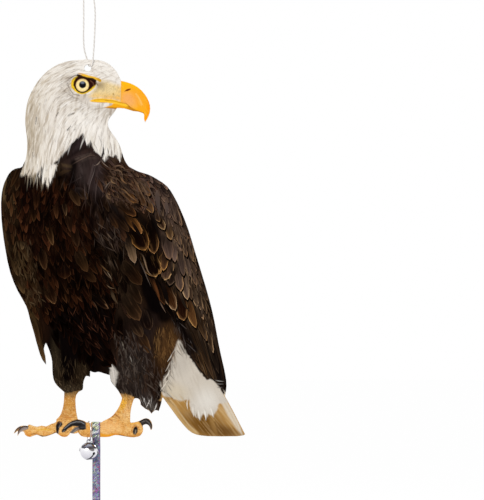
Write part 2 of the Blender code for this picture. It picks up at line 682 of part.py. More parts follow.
def build():
    """The whole part, at rest, with an empty on each joint's axis."""
    parts, cutters = start_scene()
    steel = finish_of("steel_wire", (0.55, 0.55, 0.56), 0.25, 1)
    chrome = finish_of("bell_plating", (0.80, 0.80, 0.82), 0.08, 1)
    ring_middle, hang, bell, shells = bell_frames()
    toe_top = toe_heights()[0]

    string = build_string(parts)
    layers = build_board(parts)
    loop, tail = build_ribbon(parts, ring_middle.x)
    ring = build_ring(parts, steel, ring_middle)
    upper = turned("bell_upper_shell", parts, chrome, upper_profile(), shells)
    lower = turned("bell_lower_shell", parts, chrome, lower_profile(), shells)
    tools = cut_slot(lower, cutters, shells) + cut_eye_holes(upper, cutters, bell)
    eye = build_eye(parts, steel, bell)
    pellet = build_pellet(parts, bell.to_translation())
    for shell in (upper, lower):
        shade_round(shell)

    twist = carry("twist_axis", parts, (0, 0, 0), [string, *layers, loop])
    carry("flutter_axis", parts, (0, *ribbon_fall()[0]), [tail], twist)
    rear_edge = (ring_middle.x, HALF_BOARD, toe_top)
    swing = carry("ring_axis", parts, rear_edge, [ring], twist)
    carry("bell_axis", parts, hang, [eye, upper, lower, pellet, *tools], swing)


build()
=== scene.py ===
"""Looks of the hanging eagle scarer: the printed board, its string, the foil ribbon and the bell.

The picture is laid out in steps of the photograph's own grid. at() turns such a place into metres,
and every painted zone, feather and stroke is given in those steps.
"""

import math

import bpy
import numpy as np
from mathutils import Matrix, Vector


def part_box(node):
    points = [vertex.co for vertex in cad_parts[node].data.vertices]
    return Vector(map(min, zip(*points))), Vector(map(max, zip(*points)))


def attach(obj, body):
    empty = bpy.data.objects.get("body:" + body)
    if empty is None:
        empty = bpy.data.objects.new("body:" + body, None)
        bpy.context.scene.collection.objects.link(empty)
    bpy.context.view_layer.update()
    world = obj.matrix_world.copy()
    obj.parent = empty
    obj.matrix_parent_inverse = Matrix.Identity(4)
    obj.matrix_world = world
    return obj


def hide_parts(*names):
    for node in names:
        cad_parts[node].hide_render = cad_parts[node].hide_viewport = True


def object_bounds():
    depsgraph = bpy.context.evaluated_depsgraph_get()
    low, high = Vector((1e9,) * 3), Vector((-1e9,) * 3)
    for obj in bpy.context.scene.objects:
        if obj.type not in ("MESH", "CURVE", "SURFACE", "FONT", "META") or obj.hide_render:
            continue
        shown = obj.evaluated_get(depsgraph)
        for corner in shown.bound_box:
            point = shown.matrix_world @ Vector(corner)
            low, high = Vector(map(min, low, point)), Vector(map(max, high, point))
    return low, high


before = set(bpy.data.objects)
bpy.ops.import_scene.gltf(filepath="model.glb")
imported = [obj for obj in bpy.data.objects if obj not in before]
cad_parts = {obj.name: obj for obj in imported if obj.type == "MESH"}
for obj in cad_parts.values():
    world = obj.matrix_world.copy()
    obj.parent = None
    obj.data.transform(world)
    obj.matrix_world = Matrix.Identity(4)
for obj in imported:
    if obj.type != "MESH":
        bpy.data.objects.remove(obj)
cad_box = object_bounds()

STEP = 0.00088  # metres to one step of the picture's grid
HANG_X = 88.5
HANG_Z = -18.0
FACE = 0.0015  # the printed faces lie this far to the front and back of the board's middle
FRAME_WIDE = 484
FRAME_HIGH = 500
TURN = 6.2832  # a whole turn in radians, for waves in the materials
FAR_OFF = 1e9  # farther than any two places are apart


def at(places):
    """Metres from picture steps: x is (across - 88.5) steps, z is minus (down + 18) steps."""
    places = np.asarray(places, float)
    return np.stack([(places[..., 0] - HANG_X) * STEP, (HANG_Z - places[..., 1]) * STEP], -1)


def steps_of(x, z):
    """Picture steps from metres, the way back from at()."""
    return np.stack([x / STEP + HANG_X, HANG_Z - z / STEP], -1)


# Numbers worked out as arrays


def ease(low, high, value):
    """0 below low, 1 above high, and 3t^2 - 2t^3 between them, t being the way from low to high."""
    t = np.clip((value - low) / (high - low), 0, 1)
    return t * t * (3 - 2 * t)


def lengths_along(line):
    """How far along a line each of its points lies."""
    return np.concatenate([[0], np.cumsum(np.linalg.norm(np.diff(line, axis=0), axis=1))])


def smooth_line(places, count):
    """A Catmull-Rom curve through the places, with count points spaced evenly along its length."""
    known = np.asarray(places, float)
    ends = np.vstack([2 * known[0] - known[1], known, 2 * known[-1] - known[-2]])
    a, b, c, d = ends[:-3], ends[1:-2], ends[2:-1], ends[3:]
    t = np.linspace(0, 1, 24, endpoint=False)[:, None, None]
    run = 0.5 * (2 * b + (c - a) * t + (2 * a - 5 * b + 4 * c - d) * t**2
                 + (3 * b - a - 3 * c + d) * t**3)
    run = np.vstack([run.transpose(1, 0, 2).reshape(-1, known.shape[1]), known[-1:]])
    length = lengths_along(run)
    where = np.linspace(0, length[-1], count)
    return np.stack([np.interp(where, length, run[:, k]) for k in range(run.shape[1])], -1)


def near_line(points, line):
    """Distance from each point to a line of points."""
    line = np.asarray(line, float)
    best = np.full(len(points), FAR_OFF)
    for start, way in zip(line[:-1], np.diff(line, axis=0)):
        off = points - start
        t = np.clip(off @ way / max(way @ way, 1e-12), 0, 1)
        gap = off - t[:, None] * way
        best = np.minimum(best, np.hypot(gap[:, 0], gap[:, 1]))
    return best


def depth_inside(points, outline):
    """Signed distance to a closed outline, positive inside: the nearest edge, by the even-odd rule."""
    line = np.vstack([outline, outline[:1]])
    distance = near_line(points, line)
    inside = np.zeros(len(points), bool)
    for (x0, y0), (x1, y1) in zip(line[:-1], line[1:]):
        if y0 == y1:
            continue
        crosses = (y0 > points[:, 1]) != (y1 > points[:, 1])
        edge = (x1 - x0) * (points[:, 1] - y0) / (y1 - y0) + x0
        inside ^= crosses & (points[:, 0] < edge)
    return np.where(inside, distance, -distance)


def grain(points, size, seed, stretch=1.0, angle=0.0):
    """Smooth noise from 0 to 1: random values on a lattice, eased between its corners. The lattice
    is size wide, and stretch times as long in the direction of angle."""
    c, s = math.cos(angle), math.sin(angle)
    u = (points[:, 0] * c + points[:, 1] * s) / (size * stretch) + 1000
    v = (points[:, 1] * c - points[:, 0] * s) / size + 1000
    values = np.random.default_rng(seed).random((256, 256))
    iu, iv = np.floor(u).astype(int), np.floor(v).astype(int)
    fu, fv = ease(0, 1, u - iu), ease(0, 1, v - iv)

    def value(a, b):
        return values[(iu + a) % 256, (iv + b) % 256]

    low = value(0, 0) * (1 - fu) + value(1, 0) * fu
    high = value(0, 1) * (1 - fu) + value(1, 1) * fu
    return low * (1 - fv) + high * fv


def square_off(ways):
    """The directions turned a quarter, from across to down."""
    return np.stack([-ways[..., 1], ways[..., 0]], -1)


def turned(ways, c, s):
    """The directions turned by the angles that have these cosines and sines."""
    return np.stack([ways[..., 0] * c - ways[..., 1] * s, ways[..., 0] * s + ways[..., 1] * c], -1)


def colour(red, green, blue):
    """Screen values from 0 to 255 as the linear light that the materials use."""
    c = np.array([red, green, blue]) / 255
    return np.where(c <= 0.04045, c / 12.92, ((c + 0.055) / 1.055) ** 2.4)


def numbers(text):
    """The numbers of a text, set apart by blanks."""
    return np.array(text.split(), float)


def places_of(text):
    """Places across and down the picture, from a text of numbers."""
    return numbers(text).reshape(-1, 2)


def tones_of(text):
    """Colours from a text of screen values, three to a colour."""
    return np.array([colour(*tone) for tone in numbers(text).reshape(-1, 3)])


def rows_of(text):
    """A table's rows, one a line, each cut at its commas into fields of numbers."""
    return [[numbers(field) for field in line.split(",")] for line in text.strip().splitlines()]


# Materials as sums of sockets


class Value:
    """A socket of a material, or a plain number. Sums on it add Math nodes."""

    def __init__(self, finish, source):
        self.finish = finish
        self.source = source

    def _math(self, operation, *others, clamp=False):
        values = {i: o for i, o in enumerate([self, *others])}
        return self.finish.node("Math", {"operation": operation, "use_clamp": clamp}, values)

    def __add__(self, other):
        return self._math("ADD", other)

    __radd__ = __add__

    def __sub__(self, other):
        return self._math("SUBTRACT", other)

    def __rsub__(self, other):
        return self.finish.node("Math", {"operation": "SUBTRACT"}, {0: other, 1: self})

    def __mul__(self, other):
        return self._math("MULTIPLY", other)

    __rmul__ = __mul__

    def __truediv__(self, other):
        return self._math("DIVIDE", other)

    def __abs__(self):
        return self._math("ABSOLUTE")

    def wave(self):
        return self._math("SINE")

    def eased(self, low, high):
        """0 at low, 1 at high, smooth between."""
        kind = {"interpolation_type": "SMOOTHSTEP", "clamp": True}
        return self.finish.node("MapRange", kind, {0: self, 1: low, 2: high})


class Finish:
    """A material: its Principled shader and the nodes that feed it."""

    def __init__(self, name, **fixed):
        self.material = bpy.data.materials.new(name)
        self.material.use_nodes = True
        self.tree = self.material.node_tree
        self.shader = self.tree.nodes["Principled BSDF"]
        for socket, value in fixed.items():
            self.shader.inputs[socket.replace("_", " ")].default_value = value

    def node(self, kind, settings=None, inputs=None, out=0):
        """Any node: its type, its settings, which are set first, and the values of its sockets."""
        made = self.tree.nodes.new("ShaderNode" + kind)
        for key, value in (settings or {}).items():
            setattr(made, key, value)
        for key, value in (inputs or {}).items():
            self.join(value, made.inputs[key])
        return Value(self, made.outputs[out])

    def join(self, value, socket):
        if isinstance(value, Value):
            self.tree.links.new(value.source, socket)
        elif socket.type == "RGBA" and len(value) == 3:
            socket.default_value = (*value, 1)
        else:
            socket.default_value = value

    def places(self):
        """The object's own coordinates, in metres, as three numbers."""
        spot = self.node("TexCoord", out="Object")
        return spot, *self.split(spot)

    def split(self, vector):
        parts = self.node("SeparateXYZ", None, {0: vector}).source.node.outputs
        return [Value(self, parts[i]) for i in range(3)]

    def sheet(self, name):
        """The two numbers of the piece's own UV map."""
        return self.split(self.node("UVMap", {"uv_map": name}))[:2]

    def painted(self, name):
        """A colour attribute of the piece."""
        return self.node("Attribute", {"attribute_name": name}, out="Color")

    def number(self, name):
        """A number attribute of the piece."""
        return self.node("Attribute", {"attribute_name": name}, out="Fac")

    def noise(self, spot, scale, detail=2.0, rough=0.5):
        values = {"Vector": spot, "Scale": scale, "Detail": detail, "Roughness": rough}
        return self.node("TexNoise", {"noise_dimensions": "3D"}, values)

    def stretched(self, spot, scale):
        return self.node("Mapping", {"vector_type": "POINT"}, {"Vector": spot, "Scale": scale})

    def mix(self, amount, first, second, blend="MIX"):
        """Colour first where amount is 0 and second where it is 1."""
        kind = {"data_type": "RGBA", "blend_type": blend, "clamp_factor": True}
        made = self.node("Mix", kind)
        node = made.source.node
        for value, socket in ((amount, node.inputs[0]), (first, node.inputs[6]), (second, node.inputs[7])):
            self.join(value, socket)
        return Value(self, node.outputs[2])

    def ramp(self, amount, text, kind="LINEAR"):
        """A colour ramp from a text: each stop is a place from 0 to 1 and three screen values."""
        made = self.node("ValToRGB", None, {0: amount})
        ramp, stops = made.source.node.color_ramp, numbers(text).reshape(-1, 4)
        while len(ramp.elements) < len(stops):
            ramp.elements.new(0.5)
        for element, (place, *shade) in zip(ramp.elements, stops):
            element.position = place
            element.color = (*colour(*shade), 1)
        ramp.interpolation = kind
        return made

    def give(self, socket, value):
        self.join(value, self.shader.inputs[socket])

    def relief(self, height, distance, strength=1.0):
        bump = self.node("Bump", None, {"Height": height, "Distance": distance, "Strength": strength})
        self.give("Normal", Value(self, bump.source.node.outputs["Normal"]))


# Meshes


def new_piece(name, points, quads, finish, uv=None, **attributes):
    """A mesh piece from arrays of points and quads, with its UV map and point attributes."""
    mesh = bpy.data.meshes.new(name)
    mesh.vertices.add(len(points))
    mesh.vertices.foreach_set("co", np.asarray(points, np.float32).ravel())
    quads = np.asarray(quads, np.int32)
    mesh.loops.add(quads.size)
    mesh.loops.foreach_set("vertex_index", quads.ravel())
    mesh.polygons.add(len(quads))
    mesh.polygons.foreach_set("loop_start", np.arange(len(quads), dtype=np.int32) * quads.shape[1])
    mesh.polygons.foreach_set("loop_total", np.full(len(quads), quads.shape[1], np.int32))
    mesh.update(calc_edges=True)
    if uv is not None:
        layer = mesh.uv_layers.new(name="lay")
        layer.data.foreach_set("uv", np.asarray(uv, np.float32)[quads.ravel()].ravel())
    for key, values in attributes.items():
        values = np.asarray(values, np.float32)
        if values.ndim == 2:
            kind = mesh.attributes.new(key, "FLOAT_COLOR", "POINT")
            values = np.column_stack([values, np.ones(len(values), np.float32)])
            kind.data.foreach_set("color", values.ravel())
        else:
            mesh.attributes.new(key, "FLOAT", "POINT").data.foreach_set("value", values)
    mesh.validate()
    mesh.shade_smooth()
    piece = bpy.data.objects.new(name, mesh)
    bpy.context.scene.collection.objects.link(piece)
    mesh.materials.append(finish.material)
    return piece


def grid_quads(rows, columns, closed=False):
    """The quads of a grid of points, row by row; closed joins the last column to the first."""
    first = np.arange(rows - 1)[:, None] * columns
    across = np.arange(columns if closed else columns - 1)[None, :]
    beside = (across + 1) % columns
    low, high = first + across, first + beside
    return np.stack([low, high, high + columns, low + columns], -1).reshape(-1, 4)


def tube(route, radius, sides, shape=None):
    """Points and quads of a tube: a ring of sides points round each place of the route, in a frame
    carried along it without twisting; shape(turn, along) scales each ring point's radius."""
    route = np.asarray(route, float)
    ahead = np.gradient(route, axis=0)
    ahead /= np.linalg.norm(ahead, axis=1)[:, None]
    side = np.empty_like(route)
    side[0] = np.cross(ahead[0], [0.31, 0.87, 0.13])
    side[0] /= np.linalg.norm(side[0])
    for i in range(1, len(route)):
        carried = side[i - 1] - ahead[i] * (side[i - 1] @ ahead[i])
        side[i] = carried / np.linalg.norm(carried)
    other = np.cross(ahead, side)
    turn = np.arange(sides) * 2 * math.pi / sides
    length = lengths_along(route)
    r = np.full((len(route), sides), radius)
    if shape is not None:
        r = r * shape(turn[None, :], length[:, None])
    ring = np.cos(turn)[None, :, None] * side[:, None] + np.sin(turn)[None, :, None] * other[:, None]
    points = (route[:, None] + r[..., None] * ring).reshape(-1, 3)
    uv = np.stack(np.broadcast_arrays(turn[None, :] / (2 * math.pi), length[:, None] / radius), -1)
    return points, grid_quads(len(route), sides, closed=True), uv.reshape(-1, 2)


def capped(points, quads, rows, sides):
    """The tube's quads with each end closed by a fan of quads to a middle point."""
    ends = [points[:sides].mean(0), points[-sides:].mean(0)]
    points = np.vstack([points, *[e[None] for e in ends]])
    n = rows * sides
    k = np.arange(0, sides, 2)
    low = np.stack([k, np.full(len(k), n), (k + 2) % sides, (k + 1) % sides], -1)
    top = (rows - 1) * sides
    high = np.stack([top + k, top + (k + 1) % sides, top + (k + 2) % sides, np.full(len(k), n + 1)], -1)
    return points, np.vstack([quads, low, high])


# Camera, floor and light


CAMERA_FAR = 2.6
FILM_WIDE = 36
LAMP_AIM = (0.03, 0, -0.25)
LAMP_PLACES = {"key": (-0.9, -1.6, 0.7), "back_key": (0.9, 1.6, 0.7)}
LAMP_SIZE = 1.0
LAMP_POWER = 22
WORLD_LEVELS = (0.55, 1.0)  # the world's light on the pieces, and as the camera sees it
FLOOR_REACH = 6.0
FLOOR_DROP = 0.03


def set_camera():
    """A long lens square to the board, so that the board lies where the photograph has it."""
    wide = FRAME_WIDE * STEP
    x, z = at([FRAME_WIDE / 2, FRAME_HIGH / 2])
    camera = bpy.data.objects.new("camera", bpy.data.cameras.new("camera"))
    camera.data.sensor_fit = "HORIZONTAL"
    camera.data.sensor_width = FILM_WIDE
    camera.data.lens = FILM_WIDE * CAMERA_FAR / wide
    camera.data.clip_start = 0.01
    camera.location = (x, -CAMERA_FAR - FACE, z)
    camera.rotation_euler = (math.pi / 2, 0, 0)
    bpy.context.scene.collection.objects.link(camera)
    bpy.context.scene.camera = camera


def add_lamp(name, place):
    """A square lamp at its place, turned to the middle of the bird."""
    lamp = bpy.data.objects.new(name, bpy.data.lights.new(name, "AREA"))
    lamp.data.size = LAMP_SIZE
    lamp.data.energy = LAMP_POWER
    lamp.location = place
    way = np.array(place, float) - np.array(LAMP_AIM, float)
    yaw = math.atan2(way[0], -way[1])
    lamp.rotation_euler = (math.acos(way[2] / np.linalg.norm(way)), 0, yaw)
    bpy.context.scene.collection.objects.link(lamp)


def backdrop_rays(tree):
    """1 for rays from the camera, off gloss and through glass, which all show the white backdrop."""
    rays = tree.nodes.new("ShaderNodeLightPath")
    total = rays.outputs["Is Camera Ray"]
    for kind in ("Is Glossy Ray", "Is Transmission Ray"):
        larger = tree.nodes.new("ShaderNodeMath")
        larger.operation = "MAXIMUM"
        tree.links.new(total, larger.inputs[0])
        tree.links.new(rays.outputs[kind], larger.inputs[1])
        total = larger.outputs[0]
    return total


def set_light():
    """An even pale world, a soft lamp to the upper left of each face, and a floor below the ribbon."""
    scene = bpy.context.scene
    scene.view_settings.view_transform = "Standard"
    world = bpy.data.worlds.new("studio")
    scene.world = world
    world.use_nodes = True
    tree = world.node_tree
    paint = tree.nodes["Background"]
    level = tree.nodes.new("ShaderNodeMapRange")
    level.inputs["To Min"].default_value = WORLD_LEVELS[0]
    level.inputs["To Max"].default_value = WORLD_LEVELS[1]
    tree.links.new(backdrop_rays(tree), level.inputs["Value"])
    tree.links.new(level.outputs[0], paint.inputs["Strength"])
    paint.inputs["Color"].default_value = (1, 1, 1, 1)
    for name, place in LAMP_PLACES.items():
        add_lamp(name, place)

    floor_finish = Finish("pale_floor", Roughness=0.9)
    floor_finish.give("Base Color", (0.86, 0.86, 0.86))
    rays = Value(floor_finish, backdrop_rays(floor_finish.tree))
    white = floor_finish.node("Emission", None, {"Color": (1, 1, 1), "Strength": 1.0})
    matt = Value(floor_finish, floor_finish.shader.outputs[0])
    both = floor_finish.node("MixShader", None, {0: rays * 0.985, 1: matt, 2: white})
    floor_finish.join(both, floor_finish.tree.nodes["Material Output"].inputs["Surface"])
    level = cad_box[0][2] - FLOOR_DROP
    corners = [(x * FLOOR_REACH, y * FLOOR_REACH, level) for x, y in ((-1, -1), (1, -1), (1, 1), (-1, 1))]
    floor = new_piece("floor", corners, [(0, 1, 2, 3)], floor_finish)


set_camera()
set_light()


# The string and the ribbon

STRING_THICK = 0.0012
STRING_SIDES = 12
STRING_PLACES = 420
STRING_ROUTE = numbers("""
.0007 -.0003 -.0032  .00178 -.0005 -.006  .00326 -.0008 -.0101  .00458 -.0012 -.0154
.00554 -.0015 -.022  .0059 -.0018 -.029  .00572 -.002 -.037  .00546 -.0022 -.0449
.00502 -.0024 -.0537  .00449 -.0025 -.0616  .00414 -.0025 -.0669  .00387 -.0025 -.0704
.00326 -.0025 -.0728  .0022 -.0025 -.074  .00125 -.0023 -.0742  .00062 -.0017 -.0739
.00045 -.0009 -.07385  .00045 0 -.07385  .00045 .0009 -.07385  .00038 .0017 -.0738
.00015 .0023 -.0733  -.0004 .0025 -.0722  -.001 .0025 -.07  -.0016 .0025 -.0675  -.0026 .0025 -.0642
-.00334 .0024 -.0617  -.00405 .0023 -.0581  -.00449 .0022 -.053  -.0046 .002 -.0455
-.00448 .0018 -.0375  -.0044 .0016 -.029  -.00449 .0013 -.019  -.0042 .001 -.0122  -.0031 .0007 -.0078
-.00178 .0005 -.0052  -.0007 .0003 -.0032
""").reshape(-1, 3)
KNOT_LOOP = 0.0027
KNOT_DEPTH = 0.0011
KNOT_PLACES = 260
KNOT_SWEEP = 0.74  # the share of half a turn, to each side, that the knot's curve takes


def string_finish():
    """Pale twisted string: two plies as slanting bands with painted shade in the grooves, fine fibres, and a
    soft sheen.
    """
    finish = Finish("pale_string", Roughness=0.75, Specular_IOR_Level=0.3)
    turn, along = finish.sheet("lay")
    spot = finish.places()[0]
    ply = ((turn * 2 + along * 0.16) * TURN).wave() * 0.5 + 0.5
    fibre = finish.noise(finish.stretched(spot, (2600, 2600, 900)), 1.0, 3.0)
    # painted shade: darker where the relief is low, in the grooves between the plies
    shade = finish.mix(ply * 0.6 + fibre * 0.4, colour(202, 196, 190), colour(236, 231, 226))
    finish.give("Base Color", shade)
    finish.relief(ply * 0.6 + fibre * 0.4, 0.00005, 0.4)
    return finish


def twisted(turn, along):
    """Two plies round each other: the radius swells and sinks twice a turn, and the bands climb."""
    return 1 + 0.07 * np.cos(2 * (turn + along / STRING_THICK))


def string_piece(name, route, finish):
    """A closed twisted tube along a route of the string."""
    points, quads, uv = tube(route, STRING_THICK / 2, STRING_SIDES, twisted)
    points, quads = capped(points, quads, len(route), STRING_SIDES)
    return new_piece(name, points, quads, finish, np.vstack([uv, [[0, 0], [0, 0]]]))


def make_string(finish):
    """The loop: the smooth curve through the route's places, as a twisted tube."""
    route = smooth_line(STRING_ROUTE, STRING_PLACES)
    string = string_piece("string_loop", route, finish)
    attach(string, "board")
    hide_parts("hanging_string")
    return string, route


def make_knot(finish):
    """The knot: x = a(sin t + 2 sin 2t)/3, z = a(2 cos 2t - cos t)/3 and y = b sin 3t, with t
    stopping short of a whole turn at the top, where the two loose ends rise."""
    turn = np.linspace(-math.pi * KNOT_SWEEP, math.pi * KNOT_SWEEP, 150)
    body = np.stack([
        KNOT_LOOP * (np.sin(turn) + 2 * np.sin(2 * turn)) / 3,
        KNOT_DEPTH * np.sin(3 * turn),
        KNOT_LOOP * (2 * np.cos(2 * turn) - np.cos(turn)) / 3 + 0.0002,
    ], -1)
    rise = np.linspace(0, 1, 26)[1:, None]
    ends = []
    for place in (body[0], body[-1]):
        lean = np.array([0.0012 * np.sign(place[0]), 0, 0.0052])
        ends.append(place + rise * lean + 0.0003 * np.sin(rise * 3.0) * [[1.0, 0.0, 0.0]])
    route = smooth_line(np.vstack([ends[0][::-1], body, ends[1]])[::4], KNOT_PLACES)
    knot = string_piece("knot_of_the_loop", route, finish)
    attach(knot, "hanger")
    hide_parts("string_knot")
    return knot


RIBBON_LEFT = 0.00315
RIBBON_WIDE = 0.0070
RIBBON_THICK = 0.0002
RIBBON_PLACES = 300
RING = 8  # points round the strip
LOOP_CORNER = 0.0004
LOOP_STEP = 0.0012
LOOP_FOOT = -0.40125  # where the free fall starts, below the loop round the toes
RIBBON_ROUTE = numbers("""
.0019 0  .0024 -.002  .0035 -.005  .0046 -.0086  .005 -.0123  .0049 -.0168  .0045 -.0228  .004 -.0298
.0036 -.0378  .0037 -.0458  .0042 -.0548  .005 -.0648  .0057 -.0758  .006 -.0868  .0057 -.0988
.0049 -.1108  .0039 -.1228  .0032 -.1348  .0031 -.1468  .0037 -.1588  .0048 -.1708  .006 -.1818
""").reshape(-1, 2)


def ribbon_finish():
    """Embossed foil: slanting hatch lines whose facets throw teal, lime, white, violet and red."""
    finish = Finish("glitter_foil", Metallic=0.55)
    across, along = finish.sheet("lay")
    spot, _, _, z = finish.places()
    lean = finish.noise(spot, 260.0, 1.0) * 0.9

    def cells(right, down):
        """Three random numbers for the cell of foil that the place lies in."""
        place = finish.node("CombineXYZ", None, {0: right, 1: down})
        kind = {"voronoi_dimensions": "2D", "feature": "F1"}
        values = {"Vector": place, "Scale": 1.0, "Randomness": 1.0}
        return finish.split(finish.node("TexVoronoi", kind, values, out="Color"))

    pick, glow, other = cells(across * 6.4 + along * 6.0 + lean, across * 1.7 - along * 2.0 + lean)
    tone, share, _ = cells(across * 7.0 + along * 2.0, along * 8.0 - across * 1.5)
    bright = finish.ramp(pick, """
        0 36 52 84  0.13 104 160 164  0.26 222 234 196  0.38 126 166 92  0.46 48 66 100
        0.58 240 242 240  0.7 158 146 198  0.8 44 46 70  0.88 214 214 120  0.96 124 62 160""", "CONSTANT")
    dim = finish.ramp(pick, """
        0 92 100 124  0.16 128 134 158  0.34 104 96 138  0.46 164 172 184  0.6 126 90 156
        0.72 84 90 112  0.82 188 184 200  0.9 92 150 140  0.95 184 66 110""", "CONSTANT")
    # painted shade: below the loop, where the fall hangs behind the bell, the foil takes the dimmer colours,
    # a weaker violet edge and fainter pale lines
    below = z.eased(-0.3985, -0.4035)
    specks = finish.ramp(tone, """
        0 150 96 200  0.2 66 78 112  0.36 122 190 200  0.5 196 70 112  0.6 112 116 190
        0.76 196 214 150  0.84 52 52 84""", "CONSTANT")
    dim = finish.mix(share.eased(0.35, 0.5) * 0.75, dim, specks)
    shade = finish.mix(below, bright, dim)
    edge = across.eased(0.80, 0.93) * (1 - below * 0.35)
    shade = finish.mix(edge * 0.75, shade, finish.mix(pick, colour(104, 52, 150), colour(150, 60, 170)))
    hatch = ((across * 5.5 + along * 5.5 + lean) * TURN).wave() * 0.5 + 0.5
    shade = finish.mix(hatch.eased(0.5, 0.95) * 0.7, shade, colour(34, 38, 62))
    # the pale lines are fainter below the loop, as painted shade
    shade = finish.mix((1 - hatch).eased(0.7, 1.0) * 0.5 * (1 - below * 0.6), shade, colour(236, 240, 222))
    finish.give("Base Color", shade)
    finish.give("Roughness", glow * 0.3 + 0.18)
    finish.relief(hatch * 0.5 + other * 0.5, 0.0001, 0.5)
    return finish


def strip_piece(name, line, closed, finish):
    """A strip of foil along a line in the YZ plane: each place gives a ring of eight points, the
    ribbon's width by its thickness, along the line's own square-off direction."""
    line = np.asarray(line, float)
    if closed:
        ahead = np.roll(line, -1, axis=0) - np.roll(line, 1, axis=0)
    else:
        ahead = np.gradient(line, axis=0)
    ahead /= np.linalg.norm(ahead, axis=1)[:, None]
    out = np.stack([ahead[:, 1], -ahead[:, 0]], -1) * RIBBON_THICK / 2
    spread = np.array([0.0, 0.33, 0.67, 1.0])
    length = lengths_along(line)
    front, back = line + out, line - out
    rings, uvs = [], []
    for side, order in ((front, spread), (back, spread[::-1])):
        for s in order:
            rings.append(np.column_stack([np.full(len(line), RIBBON_LEFT + s * RIBBON_WIDE), side]))
            uvs.append(np.column_stack([np.full(len(line), s), length / RIBBON_WIDE]))
    points = np.stack(rings, 1).reshape(-1, 3)
    uv = np.stack(uvs, 1).reshape(-1, 2)
    quads = grid_quads(len(line), RING, closed=True)
    if closed:
        following = np.arange(RING)
        last = (len(line) - 1) * RING + following
        seam = np.stack([last, np.roll(last, -1), np.roll(following, -1), following], -1)
        quads = np.vstack([quads, seam])
    else:
        n = (len(line) - 1) * RING
        ends = [(0, 7, 6, 1), (1, 6, 5, 2), (2, 5, 4, 3),
                (n, n + 1, n + 6, n + 7), (n + 1, n + 2, n + 5, n + 6), (n + 2, n + 3, n + 4, n + 5)]
        quads = np.vstack([quads, ends])
    return new_piece(name, points, quads[:, ::-1], finish, uv)


def make_ribbon(finish):
    """The loop round the toes, a rounded rectangle, and the free fall that waves down behind the bell."""
    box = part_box("ribbon_loop")
    low, high = np.array(box[0]), np.array(box[1])
    reach, radius = high[1] - RIBBON_THICK / 2, LOOP_CORNER
    middle_z, half = (low[2] + high[2]) / 2, (high[2] - low[2]) / 2 - RIBBON_THICK / 2
    corner = np.linspace(0, math.pi / 2, 5)
    outline = []
    for sy, sz, start in ((1, 1, 0), (-1, 1, 1), (-1, -1, 2), (1, -1, 3)):
        a = corner + start * math.pi / 2
        y = sy * (reach - radius) + radius * np.cos(a)
        z = middle_z + sz * (half - radius) + radius * np.sin(a)
        outline += list(zip(y, z))
    dense = []
    closed = outline + outline[:1]
    for (y0, z0), (y1, z1) in zip(closed[:-1], closed[1:]):
        n = max(1, int(math.hypot(y1 - y0, z1 - z0) / LOOP_STEP))
        dense += [(y0 + (y1 - y0) * k / n, z0 + (z1 - z0) * k / n) for k in range(n)]
    loop = strip_piece("ribbon_round_toes", dense, True, finish)
    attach(loop, "board")
    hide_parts("ribbon_loop")

    route = np.array([(y, LOOP_FOOT + drop) for y, drop in RIBBON_ROUTE])
    line = smooth_line(route, RIBBON_PLACES)
    fall = strip_piece("ribbon_fall", line, False, finish)
    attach(fall, "ribbon")
    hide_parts("ribbon_tail")


cotton = string_finish()
string, string_route = make_string(cotton)
knot = make_knot(cotton)
make_ribbon(ribbon_finish())


# The print: outline, ground sheets, feathers and strokes

GROUND_RISE = 0.00004  # how far the painted sheet stands off the film
FEATHER_RISE = (0.00007, 0.00020)  # a feather's foot and tip
STROKE_RISE = 0.00036
EDGE_INSET = 0.1  # how far inside the board's edge the outermost points come to lie


def film_outlines():
    """The film's own edges in picture steps: the edges that only one triangle of its outer face has,
    joined into closed lines, the longest first."""
    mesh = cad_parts["front_print"].data
    places = np.empty(len(mesh.vertices) * 3)
    mesh.vertices.foreach_get("co", places)
    places = places.reshape(-1, 3)
    corners = np.array([p.vertices[:] for p in mesh.polygons])
    outer = np.isclose(places[:, 1], places[:, 1].min(), atol=1e-6)
    corners = corners[outer[corners].all(1)]
    keys = np.round(places[:, [0, 2]] / 1e-7).astype(np.int64)
    _, same = np.unique(keys, axis=0, return_inverse=True)
    spot = np.zeros((same.max() + 1, 2))
    spot[same.ravel()] = places[:, [0, 2]]
    corners = same.ravel()[corners]
    ways = np.vstack([corners[:, [0, 1]], corners[:, [1, 2]], corners[:, [2, 0]]])
    known = set(map(tuple, ways.tolist()))
    onward = {a: b for a, b in known if (b, a) not in known}
    lines = []
    while onward:
        start, place = onward.popitem()
        line = [start]
        while place != start:
            line.append(place)
            place = onward.pop(place)
        lines.append(steps_of(*spot[line].T))
    return sorted(lines, key=len, reverse=True)


OUTLINES = film_outlines()


def depth_in_board(points):
    """Signed distance to the board's edge in picture steps, its window and hole counted as outside."""
    depth = depth_inside(points, OUTLINES[0])
    for line in OUTLINES[1:]:
        depth = np.minimum(depth, -depth_inside(points, line))
    return depth


def onto_board(points):
    """Points that lie off the board moved to its nearest edge, a little inside."""
    points = np.array(points, float)
    off = np.flatnonzero(depth_in_board(points) < EDGE_INSET)
    if not len(off):
        return points
    spots = points[off]
    best = np.full(len(off), FAR_OFF)
    place = spots.copy()
    for line in OUTLINES:
        ring = np.vstack([line, line[:1]])
        for s, w in zip(ring[:-1], np.diff(ring, axis=0)):
            size = w @ w
            if size == 0:
                continue
            t = np.clip((spots - s) @ w / size, 0, 1)[:, None]
            edge = s + t * w
            # the board lies to one side of the edge all the way round
            inward = np.array([w[1], -w[0]]) / math.sqrt(size)
            edge = edge + inward * EDGE_INSET * BOARD_SIDE
            gap = np.hypot(*(spots - edge).T)
            closer = gap < best
            best = np.where(closer, gap, best)
            place = np.where(closer[:, None], edge, place)
    points[off] = place
    return points


